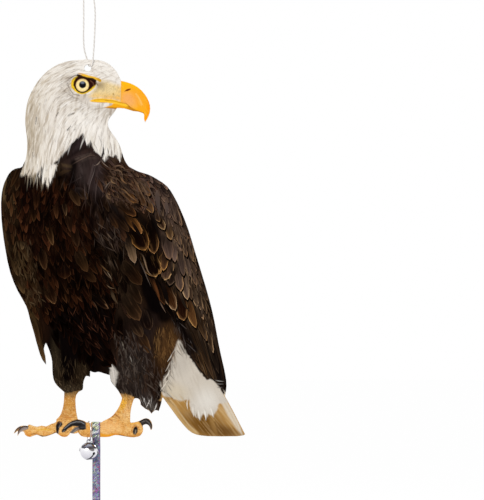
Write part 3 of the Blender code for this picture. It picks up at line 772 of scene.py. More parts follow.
def side_of_board():
    """1 or -1: on which side of the outline's way round the board lies."""
    a, b = OUTLINES[0][:2]
    middle = (a + b) / 2
    way = (b - a) / np.hypot(*(b - a))
    inward = np.array([way[1], -way[0]])
    return 1.0 if depth_inside((middle + inward * 0.05)[None], OUTLINES[0])[0] > 0 else -1.0


BOARD_SIDE = side_of_board()


def both_sides(name, places, rise, quads, finish, uv=None, **attributes):
    """A piece on the front of the board, rise metres off it, and its mirror image on the back."""
    spot = at(places)
    for side, ending in ((-1, "front"), (1, "back")):
        points = np.column_stack([spot[:, 0], side * (FACE + rise), spot[:, 1]])
        faces = quads if side > 0 else quads[:, ::-1]
        piece = new_piece(f"{name}_{ending}", points, faces, finish, uv, **attributes)
        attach(piece, "board")


def facing_back(places, quads):
    """The quads all turned the same way, clockwise in picture steps."""
    a, b, c = (places[quads[:, k]] for k in (0, 1, 2))
    cross = (b[:, 0] - a[:, 0]) * (c[:, 1] - a[:, 1]) - (b[:, 1] - a[:, 1]) * (c[:, 0] - a[:, 0])
    return np.where((cross < 0)[:, None], quads, quads[:, ::-1])


# Colours of the print

WHITE = (236, 229, 220)
CREAM = (214, 203, 186)
TAUPE = (168, 152, 134)
SKIN = (240, 188, 112)

HEAD = places_of("""
60 50 20 80 18 150 24 158 26 162 22 170 19.5 174.5 23.6 176.3 25.5 174.5 28.5 176.6 33 176
37 173 38.2 171.5 39.3 177.6 40.6 174 41.2 166.5 43.6 168.5 42.4 178 42.3 184.2 44.2 183
47.2 186.6 50.8 183.8 53 177.5 55.7 169.5 57 165 52.6 164.2 56 161.3 64.6 152.3 73.6 141.6
79 136.5 83.8 132.7 85.2 139 87 145.4 88.7 143 91 139.6 92.5 146 95.5 151.5 99.9 154.8
101.2 156.2 103 151 103.3 143 104.7 152 102 160 104.4 162 107 158.2 108 155 110 156.5
113.3 157 115.5 154.2 118 158.5 119.6 162.8 121.3 157 121.8 153.5 128 150 112 125 112 118
121 112 124 80 118 60 90 45
""")
BEAK = places_of("""
120.9 70 155 78 160 130 143.5 126 143.8 114 143.2 112.6 137 110.9 131.6 108.4 128.5 105
124 103.2 120.9 103.4
""")
JAW = places_of("""
104.2 107.6 108 106.2 111.4 105.4 113.2 103.4 119 104 124 105 129.4 106.6 134.5 109.6
142.6 112.2 143.4 115.4 136 114.2 128 111.6 120.8 109.4 112 108.6
""")
GAPE = places_of("""
89.6 100.9 92 99.7 95 98.9 101.6 98.3 108.8 99 114 99.8 119.6 101.4 126 102.8 129.4 106
126 106.6 120 105 113 103.4 106 102.7 98 102.6 92 101.9
""")
LORE = places_of("""
97 81.6 103 80.8 109 82.2 116 84.8 122 86.6 122 102 112 100 103 98.4 94 98.6 89 96.4 92 92.6
95.6 88
""")
EYE_RIM = places_of("""
70.9 85 71.4 80.6 73.6 77.6 77.6 75.6 80 76 84 77 92 79 96.4 84 94.6 87.6 91 90.8 88.2 92.4
84.8 93.9 81.6 94.4 77.6 93.2 74.2 90.8 71.6 87.8
""")
EYE_DARK = places_of("""
73.3 85 73.8 81.4 75.8 78.2 78.4 76.2 84 78 90 79 95.4 80.6 96.4 83.2 94.6 85.4 92.8 87
89.8 89.8 85.6 92 81.4 92.5 77.8 90.8 75 88.4
""")
BROW = places_of("78 75.2 81.8 76.9 87.2 78.5 92.6 79.2 95.2 80.8")
RIDGE = places_of("79.4 74.4 84.2 75.4 89.6 77.2 93.2 77.9 98 79.4 100 80.6")
NOSTRIL = places_of("124.2 91.5 126.6 89.3 130.4 88.5 130.7 89.5 128 90.9")
EYE = (82.4, 85.2)
PUPIL = (82.6, 84.7)
WHITE_COVERTS = places_of("""
178 340 192 346 199 366 206 377 214 381 223 392 228 402 219 404 216.5 411 213 416.5 209 414
206.5 418 203.5 413.5 200 419.5 196 417.5 193 414 190.5 409 189.5 400 180 401 171 397.5
163 395.5 160 384 168 372
""")
TAIL = places_of("162 392 172 396 182 400 190 399 220 400 226 392 250 437 190 440 160 400")
LEFT_LEG = places_of("50 389 60 391 66 393.5 72 392 78 391 90 391 90 421 50 423")
RIGHT_LEG = places_of("114 391 121 393.5 126 394 131 395 135 399 139 399 139 422 100 424")
INNER_TUFT = places_of("110 362 114 366 118 373 116.5 380 115.4 387 111 386 110 372")
WING_FOOT = places_of("""
176 330 186 352 196 366 201 373 207 380 213 377 219 384 226 400 240 400 240 330
""")


def area(p, outline, soft):
    """1 inside a closed outline and 0 outside, with an edge 2 x soft wide."""
    return ease(-soft, soft, depth_inside(p, outline))


def band(p, line, wide, soft):
    """1 within half of wide of a line, fading over soft."""
    return 1 - ease(wide / 2 - soft / 2, wide / 2 + soft / 2, near_line(p, line))


def blob(p, middle, radii, turn, soft):
    """1 inside an ellipse of two radii, turned by turn, fading round its edge."""
    c, s = math.cos(turn), math.sin(turn)
    x, y = p[:, 0] - middle[0], p[:, 1] - middle[1]
    far = np.hypot((x * c + y * s) / radii[0], (y * c - x * s) / radii[1])
    return 1 - ease(1 - soft, 1 + soft, far)


def lay(shade, mask, tone):
    """The tone, three screen values or a colour for each point, laid over the shade, as far as the
    mask goes from 0 to 1."""
    if isinstance(tone, tuple):
        tone = colour(*tone)
    return shade + mask[:, None] * (tone - shade)


def brushed(p, shade, rows):
    """Soft marks laid over the shade one by one. A row with three measures is a line with its width,
    softness and strength. One with two is an ellipse: its middle, radii and turn, then its softness
    and strength. The tone comes last."""
    for places, measures, tone in rows:
        if len(measures) == 3:
            wide, soft, strength = measures
            mask = band(p, places.reshape(-1, 2), wide, soft)
        else:
            soft, strength = measures
            mask = blob(p, places[:2], places[2:4], places[4], soft)
        shade = lay(shade, mask * strength, tuple(tone))
    return shade


def plain(p, *tone):
    """One colour for every point."""
    return np.broadcast_to(colour(*tone), (len(p), 3))


HEAD_MARKS = rows_of("""
30 120 12 34 .1, .9 .3, 178 162 136
33 135 7 32 0, .6 .4, 166 148 122
68 88 6 9 .2, .8 .35, 168 152 134
62 80.5 11 3.2 -.12, .7 .3, 168 152 134
84 98 12 3.5 .15, .7 .4, 168 152 134
60 108 20 14 -.5, .9 .2, 168 152 134
100 110 20 4 .1, .7 .18, 168 152 134
111 106 107 112 103 116, 5 5 .35, 168 152 134
90 126 15 10 .3, .9 .7, 244 238 230
104 68 14 9 .4, .9 .6, 244 238 230
68.4 115.6 71 114.2 73.8 113.4, 1.5 .8 .85, 70 60 50
""")


def head_colours(p):
    """Off-white, warmer and darker to the nape, with soft streaks that follow the feathers."""
    side = 1 - ease(26, 66, p[:, 0])
    shade = lay(plain(p, *WHITE), side * 0.8, CREAM)
    streak = grain(p, 1.6, 11, 7.0, math.radians(105)) * 0.6 + grain(p, 0.9, 12, 9.0, math.radians(98)) * 0.4
    crown = grain(p, 1.3, 13, 7.0, math.radians(160)) * 0.6 + grain(p, 0.8, 14, 8.0, math.radians(152)) * 0.4
    upper = 1 - ease(84, 108, p[:, 1] + (p[:, 0] - 60) * 0.25)
    streak = streak + upper * (crown - streak)
    shade = lay(shade, ease(0.46, 0.76, streak) * 0.7, TAUPE)
    shade = lay(shade, (1 - ease(24, 36, p[:, 0])) * 0.45, (172, 156, 130))
    return brushed(p, shade, HEAD_MARKS)


# line; width, softness, strength; tone: fine folds round the eye and the shade over the lore
FACE_LINES = rows_of("""
56 81 64.4 81.8 70 80.2, 1.4 1.8 .75, 138 122 106
67.2 80.6 69 78.8 71.4 77.4, .9 .9 .7, 92 76 62
71.4 77.4 74.6 75.6 78.2 74.9, .9 .7 .85, 66 50 34
67.2 82.4 69.6 89 73.2 94 79.6 95.6, .9 1.1 .7, 112 98 86
58 84.2 66 92.2 72.6 97 78.4 98.9, .9 1.2 .6, 140 126 112
60 83 67 88 70 93 74 98, .7 1 .45, 150 136 122
84 95.8 90 94.2 95 91, .9 1.2 .4, 160 146 118
80 101 90 104.2 100 107, 1.6 3 .4, 178 166 152
62 104 72 108 84 111, 2 3.6 .35, 178 166 150
92 109.4 99 108.8 104.6 107.6, 1 1.2 .6, 160 140 116
103 80.4 110 80.6 116 82.4, 1.6 2 .4, 176 158 132
""")
LORE_MARKS = rows_of("""
99.6 84.4 5.6 4 .5, .8 .75, 138 118 88
96.4 88.6 2.6 4.2 .4, .8 .4, 150 128 80
""")
BEAK_MARKS = rows_of("""
129 99.4 8.6 7.2 .6, .6 .85, 244 172 104
138 97 5 12 -.55, .8 .6, 250 166 50
136 94 139.4 98.6 141.8 104.4, 1.4 1.8 .55, 253 206 122
123 82.5 131 84 138 88, 3 3 .8, 255 190 22
148.6 98 149.4 106 148.4 113 146 121, 4.4 3 .8, 253 154 6
133 82.6 142 88.6 147.4 97 149.8 106, .8 1.2 .6, 206 122 14
""")
GAPE_MARKS = rows_of("""
94 100.2 101 99.6 108 100.3, 1 .9 .6, 206 142 26
92 101.9 99 102.6 107 102.7, .8 .9 .8, 188 122 20
""")
JAW_SHADE = rows_of("105 108 113 108.2 121 108.9 128 111 136 113.4 143 114.4, 1.5 1.2 .8, 134 80 14")
MOUTH = rows_of("""
105.2 100.3 113.6 101 119.6 102.5 126.1 103.4 129.6 106.9 135.7 110.2 142.4 112.4, .8 .8 .7, \
184 112 20
""")
LORE_SPOT = rows_of("113.3 94 .8 .8 0, .5 .8, 158 116 26")
EYE_FOLDS = rows_of("""
90.4 80.6 93.2 83 93.6 86.4, .9 .9 .55, 122 84 60
94.6 80.6 96.4 82.8 97.8 85.2, 1.1 1.2 .75, 76 52 30
""")
EYE_GLINTS = rows_of("""
82.5 82.6 1.9 1.2 0, .6 .75, 128 138 156
84.6 88.4 1.1 .7 0, .6 .4, 255 240 200
""")


def lore_colours(p, speck):
    """Bare skin before the eye, from cream to orange, with its shades."""
    x, y = p.T
    tone = lay(plain(p, 234, 208, 152), ease(90, 98, y) * 0.75, (238, 192, 106))
    tone = lay(tone, ease(112, 121, x) * 0.7, (244, 200, 116))
    tone = lay(tone, ease(100, 106, x) * ease(94.5, 98.5, y) * 0.85, (243, 182, 82))
    tone = lay(tone, ease(0.5, 0.85, speck) * 0.5, (190, 166, 120))
    return brushed(p, tone, LORE_MARKS)


def beak_colours(p):
    """Yellow horn with an orange tip, a pale side, a dark nostril and a bright ridge."""
    x = p[:, 0]
    tone = lay(plain(p, 253, 180, 24), ease(130, 140, x) * 0.5, (252, 166, 30))
    tone = brushed(p, tone, BEAK_MARKS)
    tone = lay(tone, ease(0.55, 0.9, grain(p, 1.2, 22, 5, 0.9)) * 0.25, (255, 196, 96))
    tone = lay(tone, (1 - ease(120.4, 122.6, x)) * 0.6, (236, 160, 30))
    return lay(tone, area(p, NOSTRIL, 0.45), (112, 36, 6))


def eye_colours(p, shade, speck):
    """The eye's yellow rim, its dark hollow, brow and ridge, then the iris, pupil and glints."""
    x, y = p.T
    tone = lay(plain(p, 238, 196, 44), ease(0.4, 0.8, speck) * 0.5, (186, 142, 28))
    tone = lay(tone, (1 - ease(76.5, 81, y)) * 0.7, (142, 112, 26))
    tone = lay(tone, ease(90.6, 95, x) * (1 - ease(84, 87, y)) * 0.9, (70, 46, 26))
    shade = lay(shade, area(p, EYE_RIM, 0.5), tone)
    shade = lay(shade, area(p, EYE_DARK, 0.6), (44, 18, 14))
    shade = brushed(p, shade, EYE_FOLDS)
    tone = lay(plain(p, 240, 186, 58), ease(95, 99, x) * 0.8, (190, 142, 34))
    tone = lay(tone, (1 - ease(80, 84, x)) * 0.4, (206, 146, 90))
    shade = lay(shade, band(p, RIDGE, 2.9, 0.9), tone)
    shade = lay(shade, band(p, BROW, 2.5, 1.0) * 0.97, (28, 12, 10))
    far = np.hypot(x - EYE[0], y - EYE[1])
    shade = lay(shade, 1 - ease(7.3, 8.4, far), (44, 16, 12))
    tone = lay(plain(p, 252, 230, 164), ease(4.6, 6.8, far) * 0.55, (226, 180, 104))
    tone = lay(tone, (1 - ease(78, 82.4, y)) * 0.55, (196, 156, 88))
    tone = lay(tone, ease(0.55, 0.8, grain(p, 0.6, 23)) * 0.3, (206, 170, 96))
    shade = lay(shade, 1 - ease(6.0, 6.9, far), tone)
    off = np.hypot(x - PUPIL[0], y - PUPIL[1])
    shade = lay(shade, 1 - ease(3.1, 4.0, off), (18, 18, 22))
    return brushed(p, shade, EYE_GLINTS)


def face_colours(p, shade):
    """Lore, jaw, gape, beak and eye laid over the head."""
    speck = grain(p, 0.8, 21, 1.6, 2.2)
    shade = brushed(p, shade, FACE_LINES)
    shade = lay(shade, area(p, LORE, 3.2) * 0.95, lore_colours(p, speck))
    shade = brushed(p, shade, LORE_SPOT)
    tone = lay(plain(p, 240, 166, 26), ease(123, 133, p[:, 0]) * 0.7, (168, 102, 16))
    shade = lay(shade, area(p, JAW, 0.5), brushed(p, tone, JAW_SHADE))
    shade = lay(shade, area(p, GAPE, 0.5), brushed(p, plain(p, 250, 196, 50), GAPE_MARKS))
    shade = lay(shade, area(p, BEAK, 0.45), beak_colours(p))
    shade = brushed(p, shade, MOUTH)
    return eye_colours(p, shade, speck)


# middle, radii, turn; softness, strength; tone
BODY_PATCHES = rows_of("""
8 215 9 50 .04, .8 .75, 62 46 28
6 190 5 22 .25, .8 .5, 96 76 50
20 262 9 20 -.3, .7 .6, 62 46 26
34 285 8 24 -.3, .8 .5, 52 37 22
34 330 5 30 -.22, .8 .65, 84 64 38
60 178 8 14 .5, .8 .5, 58 42 26
84 165 20 17 .25, .7 .85, 52 40 38
94 178 15 22 .2, .8 .7, 52 40 38
76 143 11 7 -.6, .7 .8, 42 32 32
80 205 12 16 .2, .8 .45, 48 34 24
104 236 17 24 -.3, .9 .6, 44 34 30
105 262 26 9 .15, .8 .6, 52 38 24
95 300 45 34 .3, .6 .85, 7 4 4
78 345 34 38 0, .5 .97, 7 4 4
125 295 17 22 -.4, .8 .65, 44 32 22
134 180 30 18 .5, .6 .9, 74 56 42
160 195 12 26 -.4, .7 .85, 84 69 61
128 207 20 11 .3, .8 .6, 52 36 24
176 240 12 46 -.32, .7 .8, 76 60 50
188 285 13 50 -.26, .7 .75, 72 58 46
150 262 15 22 -.3, .8 .7, 20 13 10
165 305 13 30 -.3, .7 .8, 20 13 10
205 345 12 46 -.25, .6 .75, 56 44 33
146 340 18 26 .1, .7 .7, 34 26 24
130 375 17 24 0, .7 .8, 44 37 33
168 347 11 20 .12, .8 .75, 86 58 31
166 362 10 5 .1, .8 .6, 60 40 22
156 340 5 14 .1, .8 .6, 34 23 16
56 362 4 26 -.05, .8 .6, 58 48 34
66 389 14 6 0, .8 .6, 56 46 34
82 374 6 12 0, .8 .6, 52 40 26
112 190 11 12 .4, .8 .6, 62 48 38
150 406 7 5 .3, .8 .6, 98 90 84
146 396 8 5 .6, .8 .5, 62 54 50
""")
# line; width, softness, strength; tone: the soft large feathers of the chest and their shadows
BODY_BANDS = rows_of("""
60 176 70 178 76 190 78 200, 8 6 .85, 7 4 4
74 163 73 176 77 190, 7 5 .9, 8 5 5
56 166 62 165 70 166.4, 3 3 .7, 76 60 42
57 172 62 170 68 171, 2 2 .5, 60 44 28
84 162 83 174 80 186, 11 7 .8, 46 37 35
100 166 102 177 99 190, 13 8 .8, 54 43 42
93.4 165 90.4 177 88.4 184, 1.3 1.4 .6, 84 72 70
95.6 168 93 180 92 188, 2.4 2.4 .6, 30 22 22
105 165 105.4 176 104 184, 1.5 1.8 .6, 84 72 66
84 182 86 194 88 206, 1.4 1.8 .6, 78 66 62
80 166 82 172 80 182, 1.6 2 .5, 66 56 54
75.6 159.4 83.6 156 91.4 153.6, 1 1.4 .5, 100 86 76
82 161 88 158 96 158, 2 2.6 .4, 76 65 58
72 150 80 144 86 141, 6 5 .7, 42 33 34
68 158 78 151 88 147, 3 3 .6, 14 9 10
92 192 96 202 102 212, 6 5 .7, 20 13 12
144 262 150 280 158 300 165 316, 13 6 .92, 9 5 4
146 280 149 292 156 306, 15 5 .95, 7 4 4
150 216 156 226 158 240, 6 4 .8, 12 7 6
138 214 144 222 150 236, 5 4 .7, 14 8 6
172 314 182 330 194 350, 7 4 .85, 12 8 8
104 212 112 224 120 240, 5 5 .6, 20 12 10
70 192 74 204 77 216, 4.6 4 .65, 60 40 23
112 206 118 214 124 222, 6 5 .8, 14 10 10
""")
# The dark far edge of the back and wing, just inside the board's own edge
BACK_EDGE = places_of("144 173.2 150 175.6 158 180 165 185.6 170.6 192")


def body_colours(p):
    """Dark brown with long soft mottling down the flow, and the larger patches laid over it."""
    mottle = grain(p, 5, 31, 3.0, math.radians(100))
    shade = lay(plain(p, 20, 10, 6), ease(0.35, 0.9, mottle) * 0.5, (46, 27, 15))
    shade = lay(shade, (1 - ease(0.1, 0.45, mottle)) * 0.7, (9, 5, 4))
    shade = brushed(p, shade, BODY_PATCHES + BODY_BANDS)
    shade = lay(shade, band(p, BACK_EDGE, 2.2, 1.4) * 0.95, (14, 10, 9))
    hair = grain(p, 0.9, 32, 7.0, math.radians(80))
    return shade * (0.72 + 0.56 * hair)[:, None]


TAIL_SHADES = rows_of("""
204 424 21 12 .45, .7 .95, 110 72 20
222 431 19 5.5 .2, .7 .8, 96 62 25
""")
TAIL_MARKS = rows_of("""
214 426 3 9 -.35, .7 .5, 170 132 78
215 422 217 428 219 434, 1.4 2 .6, 96 62 26
173 404 180 412 187 421, .8 .9 .7, 104 74 30
170 400 178 410 188 424 196 432, 1.2 1.6 .5, 226 200 156
186 405 6 7 .5, .6 .6, 160 116 52
""")
TAIL_CREASE = rows_of("222 398 230 412 238 428, 1 1.6 .5, 198 172 134")
TAIL_PALE = places_of("219 398 226 392 240 425 243 436 236 428 228 416")
TAIL_LEFT = places_of("164 399 172 410 184 425 196 434")
TAIL_RIGHT = places_of("225 396 232 409 239 422 245 435")


def tail_colours(p):
    """Ochre and tan tail feathers, long streaks running down to the right."""
    streak = grain(p, 1.3, 41, 14.0, math.radians(50))
    shade = lay(plain(p, 180, 138, 80), ease(0.45, 0.8, streak) * 0.35, (216, 188, 142))
    shade = lay(shade, (1 - ease(0.2, 0.45, streak)) * 0.3, (160, 120, 62))
    shade = brushed(p, shade, TAIL_SHADES)
    fine = grain(p, 0.8, 42, 16.0, math.radians(52))
    shade = lay(shade, ease(0.5, 0.9, fine) * 0.3, (206, 172, 120))
    shade = brushed(p, shade, TAIL_MARKS)
    shade = lay(shade, area(p, TAIL_PALE, 1.5) * 0.8, (222, 212, 194))
    shade = brushed(p, shade, TAIL_CREASE)
    shade = lay(shade, (1 - ease(1, 4, near_line(p, TAIL_LEFT))) * 0.6, (206, 172, 118))
    return lay(shade, (1 - ease(0.3, 1.4, near_line(p, TAIL_RIGHT))) * 0.7, (196, 150, 84))


COVERT_MARKS = rows_of("""
182 362 8 12 .2, .8 .35, 170 162 152
176 392 12 8 .3, .8 .5, 206 190 160
206 402 11 12 .2, .8 .5, 238 234 226
""")


def covert_colours(p):
    """The white feathers over the tail, with soft cream and grey streaks."""
    streak = grain(p, 1.6, 51, 6.0, math.radians(70))
    shade = lay(plain(p, 206, 196, 182), ease(0.45, 0.85, streak) * 0.4, (188, 176, 160))
    return brushed(p, shade, COVERT_MARKS)


LEG_MARKS = rows_of("""
64.5 405 2.4 18 .03, .7 .4, 196 138 74
74 402 2.4 16 0, .7 .35, 208 146 70
122 402 2.6 14 .45, .7 .35, 222 158 70
130 408 2.4 14 .05, .7 .35, 238 180 96
123 404.5 3 7 .35, .7 .7, 246 184 44
127 413 4 7 .3, .8 .5, 250 208 150
69 403 3 9 0, .8 .45, 236 176 72
""")
SCALE_ROW = 1.7  # from one row of scales to the next


def leg_colours(p):
    """Orange-tan skin with scale rows across the leg and shade to the sides."""
    x, y = p.T
    shade = lay(plain(p, *SKIN), (1 - ease(410, 424, y)) * 0.75, (206, 152, 84))
    shade = lay(shade, ease(0.4, 0.8, grain(p, 2.2, 61)) * 0.4, (226, 156, 64))
    shade = lay(shade, ease(0.55, 0.9, grain(p, 0.9, 62, 2.5, 0.1)) * 0.35, (206, 140, 60))
    shade = brushed(p, shade, LEG_MARKS)
    shade = lay(shade, (1 - ease(80, 96, x)) * (1 - ease(412, 422, y)) * 0.5, (190, 132, 64))
    shade = lay(shade, ease(0.5, 0.95, grain(p, 0.75, 65)) * 0.5, (255, 222, 160))
    shade = lay(shade, ease(0.5, 0.9, grain(p, 0.8, 66)) * 0.7, (176, 112, 44))
    rows = (y + grain(p, 3.0, 63) * 1.6) * 2 * math.pi / SCALE_ROW
    shade = lay(shade, ease(0.35, 1.0, np.sin(rows)) * 0.42, (172, 110, 50))
    return lay(shade, (1 - ease(392, 399, y)) * 0.7, (116, 92, 58))


# outline; tone
CLAWS = rows_of("""
20.8 426 17.4 427.4 15 429.8 13.6 433 14.4 433.8 16.2 431 18.6 428.8 21 427.4, 72 66 66
28 426 24 425.6 20.8 427 18.2 430.2 16.8 434.4 17.6 435.9 19.8 433.2 22.8 430.8 26 429.8 28.4 \
428.8, 140 124 116
59.4 421 57.2 422.2 55.9 425.4 56 430 57.2 434.4 58.5 434 58.9 430 59.6 427.2 61.4 426.4 62.6 \
424.4 61.6 422, 46 40 40
79.5 426.4 75 427.2 72 430.2 69.4 433 72.8 433.6 76.4 431 80 430, 118 110 106
85.8 422.6 83.4 421 80.4 420 76.8 419.5 72.2 420.9 68 423.4 64 427.2 61.5 430.8 62.3 432.6 65.2 \
431.6 68.2 428.5 72.8 426 78.2 426.4 79.8 429.8 83.4 430 86 429, 46 43 43
138.6 421.6 142 418.6 145.8 417.9 149.7 419.8 152.1 424.2 152.2 428.2 150.9 430.8 149.5 427.8 \
147.2 424.6 144.9 424.6 142.6 426.8 140.6 423.6, 52 47 45
134 427.4 136.6 426.2 137.8 428.6 137.6 432 135.8 434.8 133.4 434.4 132.6 431.4, 60 50 44
""")
# line; width, softness, strength; tone: creases, undersides, and dark and pale lines on the claws
FOOT_LINES = rows_of("""
36.5 435.2 44.7 436.7 50 435.6 55.9 432.6, 1.6 1.2 .9, 74 44 22
25 430 27 434.6 31 436.4, 1 1 .5, 196 118 40
31.6 434.4 34.6 433.4 37 435.4, 1.2 1 .7, 150 88 30
38 430 44 429 50 430, 1.6 1.6 .5, 240 190 50
30 425.8 36 427.6 44 428, 1.2 1.4 .4, 252 216 150
56 424 62 421 72 416.8, 1.2 1.4 .4, 190 120 56
57 419.6 66 417.2 75 417.8, 1 1 .6, 188 116 58
59 414.6 67 416 75.6 415, .8 .9 .5, 196 130 70
61 411.6 68 412.8 75 411.8, .8 .9 .4, 206 142 80
60 435.4 64 436.6 68 435.4, 1 1 .6, 186 112 34
65.6 433 69 431 71 428.6, .9 1 .5, 150 92 36
78.4 430 79 433.6 82 436, 1.2 1.2 .7, 160 100 26
82 432 85 434.6 89 435, 1 1.2 .5, 176 116 48
112.2 416.9 115 414 119.9 418.2, 1.1 .9 .75, 156 86 38
109 418.8 112.4 421, 1 .9 .65, 176 104 50
114 420 118 417.6 121 420, .8 1 .4, 206 140 80
100 425.6 106 423.4 112 422.4, 1.4 2 .5, 214 150 80
122 424 124 429 122 434, 2.4 3 .5, 206 132 40
100 434.6 107 436 112 435.4, 3 2.2 .8, 238 158 24
112 434 118 434.6 124 435, 1.8 1.6 .7, 222 140 30
119.6 435.2 122 436, 1.4 1.2 .85, 76 48 20
123 436 127 437, 1.6 1.4 .8, 104 70 28
127 436.4 134 436.6 140 434.4, 1.4 1.6 .5, 150 110 62
131 424 136 423 140 423.4, 1.4 1.4 .5, 240 168 40
131.4 432 132.4 427.4 136 425.2 138.8 428, .9 1 .55, 176 100 44
28 426.6 24.2 426.2 21 427.8 18.4 430.8 17.2 434.8, 1.3 .7 .9, 44 38 38
26.6 428.6 22.6 429.8 19.6 432.6, .6 .7 .5, 196 186 180
58.4 422.6 57 426 57.3 431, 1.3 .8 .8, 20 17 18
60.8 422.8 60.2 425 58.8 427.6, .7 .7 .7, 132 126 122
58.6 431 58.2 433.6, .7 .7 .5, 168 160 156
64.4 428.6 70.6 423.4 76.3 421.8 81 422 84 423.8, .7 .8 .75, 150 150 152
63 430.8 69 426.2 75 424.2 81 424.8, 1 .9 .8, 16 14 15
63.2 431.6 64.6 430.4, .8 .8 .6, 140 136 134
78.8 427.4 75.6 429 72 432.4, .8 .7 .7, 56 50 48
77 428.9 74.4 431 72.4 433, .5 .6 .6, 176 170 164
80.8 427.4 84.6 427, .7 .8 .5, 104 100 100
84.6 423.4 85.6 426 85.4 428.6, .7 .8 .5, 120 114 110
142 422 146 420.6 149.6 423.4 151 427.4, .8 .9 .6, 126 118 112
141 420.6 145.4 418.9 149.4 421 151.4 425, .8 .8 .6, 22 19 19
134.6 428.4 135.6 427.4 136.2 429, 1.4 .8 .9, 12 9 9
135.8 430 135.4 433 134.8 434, .8 .8 .7, 172 160 142
""")
TOE_MARKS = rows_of("""
106 426 15 6 .1, .8 .5, 252 200 136
88 428 5 5 0, .8 .4, 240 164 60
""")


def foot_colours(p, shade):
    """Orange toes with dark undersides and creases, and grey claws with dark and pale lines."""
    shade = lay(shade, ease(431, 437, p[:, 1]) * 0.6, (206, 130, 40))
    shade = lay(shade, ease(0.5, 0.85, grain(p, 1.4, 71, 2.0, 0.2)) * 0.4, (252, 204, 132))
    shade = lay(shade, ease(0.55, 0.9, grain(p, 1.8, 72, 1.5, 1.2)) * 0.35, (226, 140, 40))
    shade = brushed(p, shade, TOE_MARKS)
    for outline, tone in CLAWS:
        outline = outline.reshape(-1, 2)
        shade = lay(shade, area(p, outline, 1.2) * 0.35, (120, 76, 36))
        shade = lay(shade, area(p, outline, 0.45), tuple(tone))
    return brushed(p, shade, FOOT_LINES)


def picture_colours(p):
    """The whole print: body, head and face, tail, coverts over it, legs and feet."""
    p = np.asarray(p, float)
    wave = np.stack([grain(p, 2.0, 81) - 0.5, grain(p, 2.0, 82) - 0.5], -1)
    q = p + wave * 1.2
    shade = body_colours(p)
    shade = lay(shade, area(q, TAIL, 0.7), tail_colours(p))
    shade = lay(shade, area(q, WHITE_COVERTS, 1.0) * (1 - area(q, WING_FOOT, 0.8)), covert_colours(p))
    shade = lay(shade, area(q, LEFT_LEG, 0.8), leg_colours(p))
    shade = lay(shade, area(q, RIGHT_LEG, 0.8), leg_colours(p))
    shade = lay(shade, area(q, INNER_TUFT, 1.2) * 0.9, (206, 198, 188))
    below = ease(419.5, 421.5, p[:, 1]) * (1 - ease(153, 158, p[:, 0]))
    shade = lay(shade, below, leg_colours(p))
    low = np.flatnonzero((p[:, 1] > 410) & (p[:, 0] < 158))
    if len(low):
        shade[low] = foot_colours(p[low], shade[low])
    shade = lay(shade, area(q, HEAD, 0.6), head_colours(p))
    near = np.flatnonzero((p[:, 0] > 60) & (p[:, 1] < 130))
    if len(near):
        shade[near] = face_colours(p[near], shade[near])
    return np.clip(shade, 0.0, 1.0)


def print_finish():
    """Printed film: the painted colour with a fine grain of ink, satin, almost without gloss."""
    finish = Finish("printed_picture", Roughness=0.5, Specular_IOR_Level=0.0)
    spot = finish.places()[0]
    tone = finish.painted("tone")
    ink = finish.noise(spot, 1400.0, 2.0)
    darker = finish.mix(1.0, tone, (0.6, 0.6, 0.6), "MULTIPLY")
    tone = finish.mix(ink.eased(0.35, 0.75) * 0.18, tone, darker)
    finish.give("Base Color", tone)
    finish.relief(ink, 0.00001, 0.3)
    return finish


def painted_sheet(name, window, cell, rise, finish):
    """A grid of points cell steps apart over a window of the picture. Squares that touch the board
    stay, their outer points are drawn in to its edge, and each point takes the picture's colour."""
    x0, y0, x1, y1 = window
    across = np.linspace(x0, x1, int(round((x1 - x0) / cell)) + 1)
    down = np.linspace(y0, y1, int(round((y1 - y0) / cell)) + 1)
    grid = np.stack(np.meshgrid(across, down), -1)
    places = grid.reshape(-1, 2)
    quads = grid_quads(len(down), len(across))
    depth = depth_in_board(places)
    wanted = (depth[quads] > 0.2).sum(1) >= 2
    quads = quads[wanted]
    used, quads = np.unique(quads, return_inverse=True)
    quads = quads.reshape(-1, 4)
    places = onto_board(places[used])
    quads = facing_back(places, quads)
    both_sides(name, places, np.full(len(places), rise), quads, finish, tone=picture_colours(places))


PICTURE = (0, 58, 246, 439)
FACE_WINDOW = (60, 66, 152, 124)

printed = print_finish()
painted_sheet("picture_ground", PICTURE, 1.0, GROUND_RISE, printed)
painted_sheet("painted_face", FACE_WINDOW, 0.34, GROUND_RISE * 1.6, printed)


# Feathers and hairs of the print

FLOWS = rows_of("""
12 172 5 192 3 215 5 245 14 285 28 322 41 358
30 185 26 215 27 250 36 290 50 330
50 190 44 220 50 260 62 300 72 335
66 175 62 205 68 240 82 285 98 330
90 160 86 190 92 220 106 255 124 300
104 200 116 228 130 262 140 300
108 172 120 186 138 205 150 226
126 167 146 182 160 202 166 226
150 178 168 200 180 232 192 268 203 305 213 345 222 380
140 215 147 245 158 280 176 318 196 358
60 310 75 332 94 348 113 366
60 345 63 372 68 394
128 330 132 362 142 396
165 325 168 350 173 378
84 345 84 362 88 378
""")
HEAD_FLOWS = rows_of("""
118 72 100 62 80 63 55 72 38 88 29 108 27 130 27 150 25 176
112 84 95 74 75 72 55 84 44 100 38 120 36 145 32 176
70 92 58 100 50 115 46 135 43 160 40 180
88 100 72 106 60 122 54 140 50 165 47 188
105 104 88 110 72 125 64 140 56 160
115 105 104 112 92 122 86 136
118 107 108 116 100 130 96 152
117 108 110 118 112 132 116 148 119 162
116 109 108 117 106 130 106 145 105 162
""")


